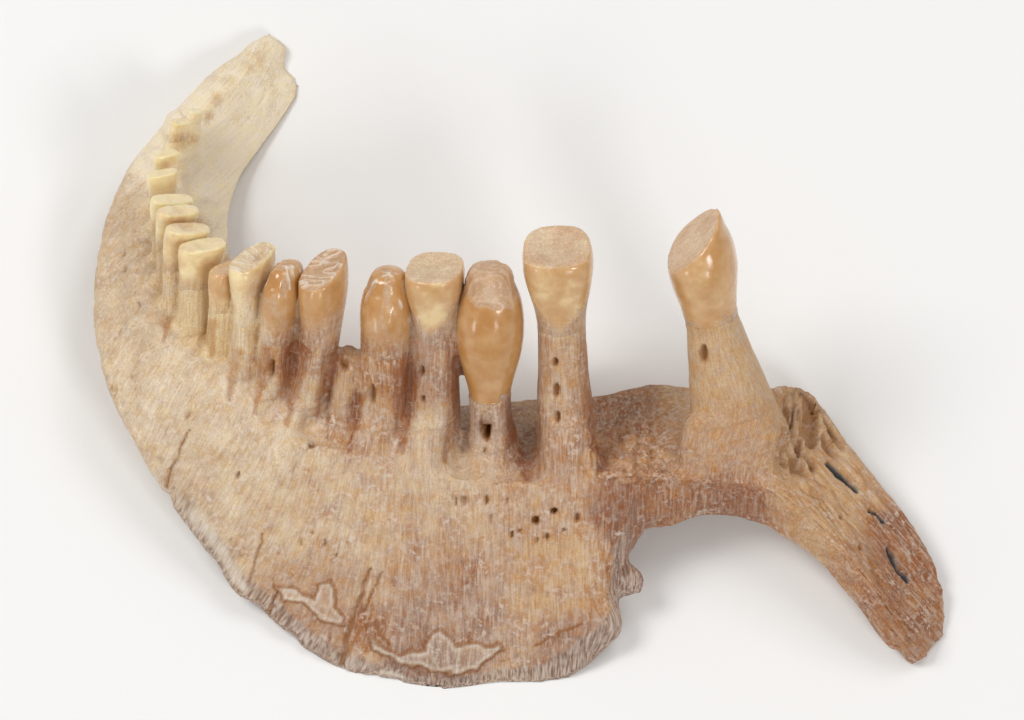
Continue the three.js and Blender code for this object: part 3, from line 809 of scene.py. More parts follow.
# Each row: place, radius, how dark, and how orange
STAINS = tuple(Stain(*row) for row in (
    (-16.2, 17.0, 3, 0.00, 0.45), (-18.5, 12.5, 3, -0.20, 0.4), (-23.2, 7.0, 3, 0.24, 0.25),
    (-23.4, 2.5, 3, 0.22, 0.25), (-20.7, -2.5, 3, 0.18, 0.15), (-16.5, -5.2, 3, 0.20, 0.2),
    (-6.0, -8.0, 3, 0.28, 0.2), (-20.4, -8.4, 2, 0.26, 0.2), (-11.7, -9.7, 3, 0.30, 0.35),
    (-12.0, -13.6, 2, 0.44, 0.35), (-5.7, -11.5, 2, 0.46, 0.5), (-4.5, -15.4, 2, 0.54, 0.15),
    (-5.4, -18.9, 1.5, 0.76, 0.15), (-13.4, -16.8, 1.5, 0.52, 0.3), (3.0, -13.0, 2, 0.36, 0.7),
    (3.6, -16.6, 1.5, 0.60, 0.3), (0.3, -8.9, 2, 0.40, 0.5), (6.6, -9.2, 1.5, 0.76, 0.65),
    (6.6, -5.6, 1.5, 0.46, 0.9), (6.0, -2.9, 1.5, 0.62, 0.75), (12.0, -4.6, 2, 0.42, 0.5),
    (12.6, -8.8, 1.7, 0.72, 0.9), (9.4, -9.0, 1.8, 0.60, 0.95), (11.7, -1.3, 2, 0.30, 0.6),
    (17.2, -5.2, 2, 0.36, 0.8), (17.7, -8.9, 2, 0.38, 0.95), (22.5, -15.2, 2.4, 0.62, 0.9),
    (20.2, -12.6, 1.2, 0.50, 0.9), (23.8, -11.0, 1.8, 0.68, 0.9), (2.6, -1.5, 1.5, 0.40, 0.5),
    (-2.1, -3.5, 1.2, 0.40, 0.0), (-2.07, -3.93, 0.35, 1.0, 0.9), (-5.6, -0.7, 1.2, 0.52, 0.3),
    (-8.8, 0.2, 1.2, 0.48, 0.9), (-7.3, -1.2, 0.9, 0.56, 1.0), (-8.4, -4.6, 1.4, 0.44, 0.5),
    (-12.2, -0.1, 1.2, 0.42, 0.5), (-14.1, 0.6, 1.2, 0.50, 0.9), (-14.0, -3.0, 1.5, 0.28, 0.3),
    (-16.2, 1.3, 1.2, 0.10, 0.5), (-18.8, 2.4, 1.5, 0.14, 1.0), (-10.3, -4.4, 1.2, 0.46, 0.6),
    (-21.3, 8.5, 1.5, 0.12, 1.0), (1.6, -5.5, 1.5, 0.50, 0.5), (6.5, -13.0, 0.9, 0.75, 1.0),
    (-7.0, -9.0, 0.9, 0.42, 0.8), (-3.7, -12.6, 0.8, 0.60, 0.6), (-9.5, -15.7, 0.8, 0.62, 1.0),
    (-8.2, -9.4, 0.8, 0.24, 0.9), (4.5, -14.3, 0.9, 0.44, 1.0), (-15.0, 14.2, 2.0, -0.05, 0.35),
    (-15.8, 18.1, 0.5, 0.22, 1.0), (-17.4, 17.0, 0.35, 0.22, 1.0), (-18.1, 15.8, 0.35, 0.34, 1.0),
    (-18.6, 14.8, 0.35, 0.3, 1.0), (-19.5, 13.5, 0.35, 0.36, 1.0), (-19.9, 8.2, 0.7, 0.34, 1.0),
    (-20.4, 13.2, 0.6, 0.34, 1.0),
))


# How dark and how orange the bone is far from every stain, and how little that counts near one
UNSTAINED = (0.35, 0.4)
UNSTAINED_WEIGHT = 0.02
# From this tooth on towards the dorsal tip, the stalks are young, clean and full of colour
FIRST_YOUNG = 9
# How far the skin is drawn in and down under a crown, as a share of its radius and in millimetres
CROWN_TUCK, CROWN_DROP = 0.32, 0.8
# How dark the gap beside each stalk is painted, on the stalk's side towards the gap and on its rear: partly
# stain, partly painted shade
GAP_SHADE = {
    "molar_2": 0.4, "molar_3": 0.9, "molar_4": 0.8, "tooth_5": 0.9, "stub": 0.9, "tooth_6": 0.9,
    "tooth_7": 0.8, "tooth_8": 0.35, "tooth_9": 0.2,
}


def stain_at(picture: Array) -> tuple[Array, Array]:
    """How dark and how orange the bone is at places on the picture plane.

    Args:
        picture: places on the picture plane.

    Returns:
        The two values for each place.
    """
    total = np.full(len(picture), UNSTAINED_WEIGHT)
    dark, ochre = UNSTAINED[0] * total, UNSTAINED[1] * total
    for stain in STAINS:
        away = np.hypot(picture[:, 0] - stain.x, picture[:, 1] - stain.y)
        weight = np.exp(-((away / stain.radius) ** 2)) * (2 if stain.radius < 1 else 1)
        total = total + weight
        dark, ochre = dark + weight * stain.dark, ochre + weight * stain.ochre
    return dark / total, ochre / total


def shaded_side(side: Array, behind: Array) -> Array:
    """How far a place on a stalk faces the gap beside it or the rear, the sides that get painted shade,
    from its offsets in radii.
    """
    return np.maximum(smooth(side, 0.5, 1.15), 0.8 * smooth(behind, -0.1, 0.9))


@dataclass(frozen=True)
class PoreField:
    """Small pores scattered over one area: how many, and the ranges of their sizes in millimetres."""

    count: int
    half_width: tuple[float, ...]
    half_height: tuple[float, ...]
    depth: tuple[float, ...]

    def pore(self, draw: np.random.Generator, place: Sequence[float], turn: float) -> Pit:
        """One pore of the field.

        Args:
            draw: where its sizes are drawn from.
            place: its place on the picture plane.
            turn: how far it is turned, in degrees.

        Returns:
            The pore.
        """
        ranges = (self.half_width, self.half_height, self.depth)
        sizes = [draw.uniform(*span) if len(span) > 1 else span[0] for span in ranges]
        return Pit(*place, *sizes, turn)


EDGE_PORES = PoreField(70, (0.06, 0.1), (0.1, 0.3), (0.1, 0.2))
WING_PORES = PoreField(150, (0.05, 0.09), (0.1, 0.22), (0.06, 0.14))
BEND_PORES = PoreField(70, (0.06,), (0.08, 0.16), (0.08, 0.16))
LIMB_PORES = PoreField(90, (0.06, 0.12), (0.2, 0.6), (0.1, 0.25))


def sink_crowns(drawing: Array, places: ArchPlaces) -> Array:
    """Draws the skin in under the crowns, which are pieces of their own.

    Args:
        drawing: the skin's vertices in the drawing frame.
        places: where each lies on the arch.

    Returns:
        The moved vertices.
    """
    sunk = drawing.copy()
    crowned = np.array([tooth.crowned for tooth in TEETH])[places.tooth]
    share = smooth(places.level, 2.02, 2.3) * places.on_tooth * crowned
    for number, tooth in enumerate(TEETH):
        rows = np.flatnonzero((places.tooth == number) & (share > 0))
        if not len(rows):
            continue
        level = places.level[rows]
        axis = tooth.axis(level)
        drop = CROWN_DROP * share[rows] * smooth(level, 2.4, 2.9)
        sunk[rows] = axis + (drawing[rows] - axis) * (1 - CROWN_TUCK * share[rows])[:, None]
        sunk[rows] -= tooth.sides(level)[2] * drop[:, None]
    return sunk


class CarvedLayers:
    """Everything that is carved into the skin, stains it or paints shade on it, worked out for each vertex.
    """

    SEED = 11
    # The band of growth lines along the wing's border: its reach, how far that grows towards
    # the lower end, and how ragged it is
    EDGE_BAND, BAND_GROWTH, BAND_RAGGED = 1.2, 0.9, 0.35
    # Sizes of the patterns in millimetres, across, along and through the fibres
    FIBRE = (0.34, 4.5, 0.34)
    FINE_FIBRE = (0.20, 2.2, 0.20)
    LAMELLA = (0.17, 7.0, 0.5)
    STRUTS = (0.55, 3.2, 2.2)
    CLOUD, VEIN, GRIT = 2.2, 1.1, 0.45
    # How far the carved lines stray from their places
    WOBBLE = 0.2
    # The share of its depth to which a pit is carved, how far it reaches, in half sizes, and
    # how far below the highest bone near it the carving stops
    PIT_DEPTH, PIT_REACH, PIT_FLOOR = 0.8, 1.3, 2.2
    # How far the pores are turned, in degrees
    WING_TURN, LIMB_TURN = 27, -38
    # The hollows between the feet of the stalks: how high they start, how far they run and how
    # wide they are there
    GROOVE_RISE, GROOVE_RUN, GROOVE_WIDTHS = 0.8, 2.4, (0.6, 0.3)
    # Middle and half size on the picture plane
    SOCKET = ((6.4, -5.6), (3.4, 2.4))
    SPONGE = ((17.3, -4.0), (2.4, 2.6))
    # How far each layer lifts or sinks the skin, in millimetres. Three numbers are everywhere,
    # on the lower limb and in the growth band
    CLOUD_LIFT = 0.07
    FIBRE_LIFT = (0.03, 0.06, 0.02)
    GRIT_LIFT = (0.02, 0.03, 0.02)
    FINE_LIFT, LAMELLA_LIFT = 0.014, 0.022
    PLATE_RIM, GROWTH_LIFT = 0.05, 0.06
    GROOVE_DEPTH, SPONGE_DEPTH = 0.14, 0.85
    SOCKET_VEIN, SOCKET_RISE, SOCKET_GRIT = 0.35, 0.12, 0.16

    def __init__(self, places: ArchPlaces, front: Array) -> None:
        """Works out all layers.

        Args:
            places: where each vertex lies on the arch.
            front: 1 where a vertex faces out of the picture, 0 where it faces away.
        """
        self.places = places
        self.front = front
        self.picture = places.picture
        self.bone = 1 - places.on_tooth
        self.from_edge = places.reach - places.across
        winged = smooth(places.station, 6.8, 7.5) * (1 - smooth(places.station, 12.0, 12.8))
        reach = self.EDGE_BAND + self.BAND_GROWTH * smooth(places.station, 9.5, 10.8)
        reach = reach + self.BAND_RAGGED * octaves(places.drawing / self.EDGE_BAND, self.SEED + 13, 2)
        self.band = winged * smooth(reach - self.from_edge, 0, 0.3) * self.bone
        self.band *= smooth(self.from_edge, -0.9, -0.4)
        self.limb = smooth(self.picture[:, 0], 14.0, 16.5) * self.bone
        wobble = octaves(places.drawing / 0.7, self.SEED + 1, 2)
        across = octaves(places.drawing / 0.6, self.SEED + 2, 2)
        self.wobbled = self.picture + self.WOBBLE * np.column_stack([wobble, across])
        self.fibre = octaves(places.grain / self.FIBRE, self.SEED + 3, 2)
        self.fine = lattice_noise(places.grain / self.FINE_FIBRE, self.SEED + 5)
        self.lamella = lattice_noise(places.grain / self.LAMELLA, self.SEED + 6)
        self.cloud = octaves(places.drawing / self.CLOUD, self.SEED + 7, 3)
        self.grit = octaves(places.drawing / self.GRIT, self.SEED + 9, 2)
        self.struts = np.abs(octaves(places.grain / self.STRUTS, self.SEED + 31, 2))
        self.hollow = self._pits()
        self.crack = self._most(CRACKS, self.wobbled)
        self.groove = self._most(self._grooves(), self.picture)
        self.socket = self._socket()
        self.sponge = self._sponge()

    def _most(self, lines: Iterable[Line], picture: Array) -> Array:
        """The strongest share of several lines."""
        return np.max([line.share(picture) for line in lines], axis=0) * self.front

    def _grooves(self) -> list[Line]:
        """The hollows that run down over the ridge between neighbouring stalks.

        Returns:
            One line for each gap between two teeth.
        """
        grooves = []
        for low, high in zip(TEETH[:-1], TEETH[1:]):
            middle = (np.array([low.base], float) + np.array([high.base], float)) / 2
            foot = ArchPlaces(middle)
            ridge, edge = rail(RIDGE, foot.station), rail(EDGE, foot.station)
            down = (edge - ridge) / np.linalg.norm(edge - ridge)
            top, foot_end = middle + [0, self.GROOVE_RISE, 0], ridge + down * self.GROOVE_RUN
            path = picture_places(np.vstack([top, ridge, foot_end]))
            grooves.append(Line(tuple(map(tuple, path)), *self.GROOVE_WIDTHS))
        return grooves

    def _pits(self) -> Array:
        """Depth of the named foramina and of the pores scattered along the fibres.

        Returns:
            One depth for each vertex, in millimetres.
        """
        depth = np.zeros(len(self.front))
        order = np.argsort(self.picture[:, 0])
        sorted_x = self.picture[order, 0]
        for pit in FORAMINA + tuple(self._pores()):
            reach = self.PIT_REACH * max(pit.half_width, pit.half_height)
            low, high = np.searchsorted(sorted_x, (pit.x - reach, pit.x + reach))
            rows = order[low:high]
            rows = rows[np.abs(self.picture[rows, 1] - pit.y) < reach]
            share = pit.share(self.picture[rows]) * self.front[rows] * pit.depth * self.PIT_DEPTH
            heights = self.places.drawing[rows, 2]
            if len(rows):
                floor = heights.max() - self.PIT_FLOOR
                share = share * smooth(heights, floor, floor + 1)
            depth[rows] = np.maximum(depth[rows], share)
        return depth

    def _pores(self) -> Iterable[Pit]:
        """Small pores at random places: crowded in the wing's edge, sparse above it.

        Returns:
            The pores, one after another.
        """
        draw = np.random.default_rng(self.SEED)
        for _ in range(EDGE_PORES.count):
            station, back = draw.uniform(6.0, 12.0), draw.uniform(0.25, 2.2)
            edge, ridge = (rail(line, np.array([station]))[0] for line in (EDGE, RIDGE))
            place = (edge + (ridge - edge) * back / np.linalg.norm(ridge - edge))[:2]
            yield EDGE_PORES.pore(draw, place, self._lean(place[0]))
        for _ in range(WING_PORES.count):
            place = draw.uniform(-25, 6), draw.uniform(-17, -6)
            yield WING_PORES.pore(draw, place, self._lean(place[0]))
        for _ in range(BEND_PORES.count):
            place = draw.uniform(-25.5, -20), draw.uniform(-3, 10)
            yield BEND_PORES.pore(draw, place, self.WING_TURN)
        for _ in range(LIMB_PORES.count):
            along, side = draw.uniform(0, 1), draw.normal(0, 1.0)
            place = 15.5 + 8.5 * along + side * 0.8, -6.0 - 10.5 * along + side * 0.6
            yield LIMB_PORES.pore(draw, place, self.LIMB_TURN)

    def _lean(self, x: float) -> float:
        """How far the wing's fibres lean at a place along the drawing's x axis, in degrees."""
        return self.WING_TURN * float(1 - smooth(np.array(x), -20, -4))

    def _away(self, middle: Pair, half: Pair) -> Array:
        """How far each place lies from the middle of an area, in half sizes of it."""
        return np.hypot(*((self.picture - middle) / half).T)

    def _socket(self) -> Array:
        """How rough the bone round the empty socket is."""
        away = self._away(*self.SOCKET)
        return (1 - smooth(away, 0.5, 1.15)) * self.bone

    def _sponge(self) -> Array:
        """How open the spongy bone of the ventral limb is."""
        away = self._away(*self.SPONGE)
        return (1 - smooth(away, 0.6, 1.2)) * self.bone * self.front

    def lift(self) -> Array:
        """How far each vertex moves out along its normal, in millimetres.

        Returns:
            One distance for each vertex.
        """
        fields = np.array([np.ones(len(self.front)), self.limb, self.band])
        lift = self.CLOUD_LIFT * self.cloud * self.bone
        lift += self.fibre * (np.array(self.FIBRE_LIFT) @ fields)
        lift += self.fine * self.FINE_LIFT + self.lamella * self.LAMELLA_LIFT * self.band
        lift += self.grit * (np.array(self.GRIT_LIFT) @ fields)
        lift -= self.hollow
        for line in CRACKS + DARK_SLITS:
            lift -= line.share(self.wobbled) * self.front * line.depth
        for plate in GROWTH_PLATES:
            inside = plate.holds(self.wobbled) * self.front
            lift += inside * plate.depth + plate.share(self.wobbled) * self.front * self.PLATE_RIM
        for edge in GROWTH_EDGES:
            lift += edge.share(self.wobbled) * self.front * self.GROWTH_LIFT
        lift -= self.GROOVE_DEPTH * self.groove * self.bone
        veins = 1 - smooth(np.abs(octaves(self.places.drawing / self.VEIN, self.SEED + 21, 3)), 0.05, 0.35)
        lift -= self.socket * (self.SOCKET_VEIN * veins - self.SOCKET_RISE + self.SOCKET_GRIT * self.grit)
        lift -= self.sponge * self.SPONGE_DEPTH * smooth(self.struts, 0.08, 0.3)
        return lift

    def notes(self) -> dict[str, Array]:
        """What the bone's material reads at each vertex.

        Returns:
            The values of each attribute, by its name.
        """
        dark, ochre = stain_at(self.picture)
        plates = np.max([p.share(self.wobbled) for p in GROWTH_PLATES + GROWTH_EDGES], axis=0)
        near = np.max([plate.near(self.wobbled) for plate in GROWTH_PLATES], axis=0)
        inside = np.any([plate.holds(self.wobbled) for plate in GROWTH_PLATES], axis=0)
        flaked = np.max([strip.share(self.wobbled) for strip in FLAKES], axis=0)
        chalk = np.maximum(inside * (0.25 + 0.75 * near), flaked)
        # Pits, cracks and the cavities of the spongy bone are coloured darker orange-brown the deeper they
        # are: partly their stain, partly painted shade
        hollow = np.maximum(smooth(self.hollow, 0.02, 0.5), 0.7 * self.crack)
        hollow = np.maximum(hollow, 0.5 * self.sponge * smooth(self.struts, 0.1, 0.35))
        # Painted shade in the gaps between the stalks, partly standing for their stain: it darkens stain
        # and ochre and thins the frost there
        shade = self._gap_stain_and_shade()
        young = np.where(self.places.tooth >= FIRST_YOUNG, self.places.on_tooth, 0)
        clean = np.where(self.places.tooth == 0, self.places.on_tooth, young)
        powdery = 0.55 + 0.45 * smooth(self.cloud, -0.5, 0.4)
        return {
            "stain": dark + GAP_STAIN_AND_SHADE_DARKNESS * shade + 0.03 - 0.06 * young,
            "ochre": np.clip(ochre + GAP_STAIN_AND_SHADE_OCHRE * shade + YOUNG_OCHRE * young, 0, 1),
            "outline": plates * self.front,
            "chalk": chalk * self.front,
            # Near-black colour in the slits between the shards
            "dark_slit": self._most(DARK_SLITS, self.wobbled),
            "hollow": hollow,
            "frost": (1 - 0.8 * clean) * (1 - 0.9 * shade) * powdery,
            "band": self.band,
        }

    def _gap_stain_and_shade(self) -> Array:
        """How far each place lies in the gaps between the stalks of the middle teeth, which are painted
        dark: partly stain, partly painted shade.

        Returns:
            One share for each vertex.
        """
        places = self.places
        half = np.array([tooth.wide[1] / 2 for tooth in TEETH])[places.tooth]
        dark = np.array([GAP_SHADE.get(tooth.name, 0.0) for tooth in TEETH])[places.tooth]
        stalk = places.on_tooth * dark * shaded_side(places.beside[:, 0] / half, places.beside[:, 1] / half)
        stalk *= (1 - smooth(places.level, 1.9, 2.2)) * smooth(places.level, 1.15, 1.5)
        shown = smooth(places.drawing[:, 2], -3.4, -2.0)
        return np.maximum(stalk, 0.5 * shown * self._most(GAP_STAIN_AND_SHADE_LINES, self.wobbled))


@dataclass
class BoneSkin:
    """The bone and the stalks of its teeth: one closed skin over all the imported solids."""

    END_ERROR = 1e-3
    STALK_EASE = 0.8

    voxel: float = 0.14 * MM
    merge: float = 0.001 * MM
    # How far the solids swell, in millimetres, and how often the skin is smoothed: everywhere,
    # and along the crease between the ridge and the stalks
    seam: float = 0.24
    smoothing: int = 10
    crease_smoothing: int = 60
    crease_width: Pair = (0.8, 2.0)
    crease_middle: float = -0.2
    # The ribs: how far up a stalk and forward on it they start, how far they run down over the
    # wing, their sizes and how deep they lie
    rib_rise: float = 0.45
    rib_run: float = 5.2
    rib_width: float = 0.50
    rib_depth: float = 1.25
    rib_sink: float = 0.50
    rib_overrun: float = 1.15
    rib_front: float = 0.8
    rib_share: float = 0.6
    shard_ragged: float = 0.22
    shard_grain: float = 1.6
    shard_seed: int = 71
    parts: dict[str, Pair] = field(default_factory=lambda: {
        "dorsal_bone": (-40.0, -13.0), "middle_bone": (-13.0, 0.95), "ventral_bone": (0.95, 40.0)})

    def build(self, nodes: dict[str, Piece]) -> list[Piece]:
        """Draws the skin, carves it and parts it into closed pieces.

        Args:
            nodes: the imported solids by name.

        Returns:
            The pieces, from the dorsal end to the ventral end.
        """
        skin = self._joined(nodes)
        self._close_partings(skin)
        self._carve(skin)
        pieces = [self._cut_out(skin, name, low, high) for name, (low, high) in self.parts.items()]
        bpy.data.objects.remove(skin)
        return pieces

    def _joined(self, nodes: dict[str, Piece]) -> Piece:
        """One object made of copies of all the solids, with their loose triangles merged.

        Args:
            nodes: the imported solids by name.

        Returns:
            The object.
        """
        bpy.ops.object.select_all(action="DESELECT")
        copies = [self._buttress(tooth) for tooth in TEETH] + [self._shard(*shard) for shard in SHARDS]
        copies += [add_object("skin", node.data.copy()) for node in nodes.values()]
        for copy in copies:
            copy.select_set(True)
        bpy.context.view_layer.objects.active = copies[-1]
        bpy.ops.object.join()
        skin = bpy.context.object
        with editing(skin):
            bpy.ops.mesh.remove_doubles(threshold=self.merge)
        skin.data.materials.clear()
        return skin

    def _buttress(self, tooth: Tooth) -> Piece:
        """The rib that carries a stalk's front down over the ridge onto the wing.

        Args:
            tooth: the tooth that stands on it.

        Returns:
            The rib.
        """
        bpy.ops.mesh.primitive_ico_sphere_add(subdivisions=4, radius=1)
        rib = bpy.context.object
        level = np.array([1.0 + self.rib_rise])
        rear = tooth.sides(level)[1][0]
        upper = tooth.axis(level)[0] - rear * tooth.half(tooth.deep, level)[0] * self.rib_front
        foot = ArchPlaces(np.array([tooth.base], float))
        ridge, edge = rail(RIDGE, foot.station)[0], rail(EDGE, foot.station)[0]
        down = (edge - ridge) / np.linalg.norm(edge - ridge)
        lower = ridge + down * min(self.rib_run, self.rib_share * foot.reach[0])
        long = (upper - lower) / 2
        side = np.array([1.0, 0.0, 0.0]) - long * long[0] / (long @ long)
        side /= np.linalg.norm(side)
        deep = np.cross(side, long / np.linalg.norm(long))
        centre = (upper + lower) / 2 - deep * self.rib_sink
        size = np.array([self.rib_width * tooth.wide[0], self.rib_overrun, self.rib_depth])
        unit = read_places(rib) * size
        write_places(rib, to_part(centre + unit @ np.array([side, long, deep])))
        return rib

    def _shard(self, place: tuple[float, ...], size: tuple[float, ...]) -> Piece:
        """A ragged flake that stands out of the wing's ventral border.

        Args:
            place: its middle in the drawing frame.
            size: its half sizes.

        Returns:
            The flake.
        """
        bpy.ops.mesh.primitive_ico_sphere_add(subdivisions=4, radius=1)
        shard = bpy.context.object
        unit = read_places(shard)
        unit *= 1 + self.shard_ragged * octaves(unit * self.shard_grain, self.shard_seed, 3)[:, None]
        write_places(shard, to_part(np.array(place) + unit * size))
        return shard

    def _close_partings(self, skin: Piece) -> None:
        """Swells the solids until the partings close, draws one skin and lets it shrink again.

        Args:
            skin: the joined solids, which become the skin.
        """
        places = ArchPlaces(to_drawing(read_places(skin)))
        swell = skin.vertex_groups.new(name="swell")
        for number, weight in enumerate(self._swelling(places)):
            swell.add([number], float(weight), "REPLACE")
        finish_with(skin, "DISPLACE", strength=self.seam * MM, mid_level=0.0, vertex_group="swell")
        finish_with(skin, "REMESH", mode="VOXEL", voxel_size=self.voxel, use_smooth_shade=True)
        keep_largest(skin)
        finish_with(skin, "SMOOTH", factor=0.5, iterations=self.smoothing)
        places = ArchPlaces(to_drawing(read_places(skin)))
        facing = turned_to_drawing(read_normals(skin))[:, 2]
        away = np.abs(places.across - self.crease_middle)
        weight = (1 - smooth(away, *self.crease_width)) * smooth(facing, -0.2, 0.3)
        weight *= 1 - smooth(places.level, 1.2, 1.6) * places.on_tooth
        crease = skin.vertex_groups.new(name="crease")
        for number in np.flatnonzero(weight > 0.05):
            crease.add([int(number)], float(weight[number]), "REPLACE")
        finish_with(skin, "SMOOTH", factor=0.5, iterations=self.crease_smoothing, vertex_group="crease")

    def _swelling(self, places: ArchPlaces) -> Array:
        """How much of the swelling each vertex takes: all of it on the bone, little on a stalk."""
        return 1 - self.STALK_EASE * places.on_tooth * smooth(places.level, 1.0, 1.5)

    def _carve(self, skin: Piece) -> None:
        """Moves the skin's vertices for all that a real arch shows, and notes its stains.

        Args:
            skin: the skin.
        """
        drawing = to_drawing(read_places(skin))
        normals = turned_to_drawing(read_normals(skin))
        places = ArchPlaces(drawing)
        front = smooth(normals[:, 2], 0.05, 0.4)
        layers = CarvedLayers(places, front)
        drawing = drawing + sum(dent.shift(places.picture) for dent in DENTS)
        lift = layers.lift() - self.seam * self._swelling(places)
        drawing = drawing + normals * lift[:, None]
        drawing = sink_crowns(drawing, places)
        carved = to_part(drawing)
        # Nothing lies below the table
        carved[:, 2] = np.maximum(carved[:, 2], 0)
        write_places(skin, carved)
        for name, values in layers.notes().items():
            write_attribute(skin, name, values)
        write_attribute(skin, "grain", places.grain)

    def _cut_out(self, skin: Piece, name: str, low: float, high: float) -> Piece:
        """A closed copy of the skin between two places along the drawing's x axis.

        Args:
            skin: the carved skin.
            name: the piece's name.
            low: where it starts, in millimetres.
            high: where it ends.

        Returns:
            The piece.
        """
        piece = add_object(name, skin.data.copy())
        piece.data.name = name
        for place, side in ((low, "clear_inner"), (high, "clear_outer")):
            cut = {"plane_co": to_part(np.array([[place, 0, 0]]))[0], "plane_no": (1, 0, 0), side: True}
            with editing(piece):
                bpy.ops.mesh.bisect(**cut, use_fill=True, threshold=CUT_ERROR)
        self._sharpen_ends(piece, (low, high))
        return piece

    def _sharpen_ends(self, piece: Piece, ends: Pair) -> None:
        """Marks the edges of the flat ends sharp, so the skin's shading runs on over the parting.

        Args:
            piece: the piece.
            ends: where its flat ends lie, in millimetres.
        """
        x = read_places(piece)[:, 0] / MM - DRAWING_ORIGIN[0]
        on_end = np.any([np.abs(x - end) < self.END_ERROR for end in ends], axis=0)
        edges = np.empty(len(piece.data.edges) * 2, int)
        piece.data.edges.foreach_get("vertices", edges)
        sharp = on_end[edges.reshape(-1, 2)].all(axis=1)
        kept = piece.data.attributes
        marks = kept.get("sharp_edge") or kept.new("sharp_edge", "BOOLEAN", "EDGE")
        marks.data.foreach_set("value", sharp)
        piece.data.update()


@dataclass(frozen=True)
class WearForm:
    """How a crown with one kind of wear is shaped.

    fade is the height over which its root turns into enameloid, and border how far up that
    starts. squareness is how full its corners are, and smoothing how often it is smoothed.
    hollow, crossed and pale are the depth of its dish, of its ridges, and how pale these are.
    """

    fade: float
    border: float
    squareness: float
    smoothing: int
    hollow: float
    crossed: float
    pale: float


WEAR_FORMS = {
    Wear.FACET: WearForm(0.8, 0.0, 2.3, 24, 0.02, 0.02, 0.15),
    Wear.CUP: WearForm(1.1, 0.2, 2.8, 6, 0.10, 0.03, 0.15),
    Wear.CAP: WearForm(0.6, 0.0, 2.15, 8, 0.0, 0.06, 0.22),
    Wear.RIDGED: WearForm(2.0, 0.4, 2.4, 40, 0.07, 0.12, 0.6),
    Wear.STREAKED: WearForm(1.6, 0.6, 2.2, 10, 0.0, 0.08, 0.8),
}


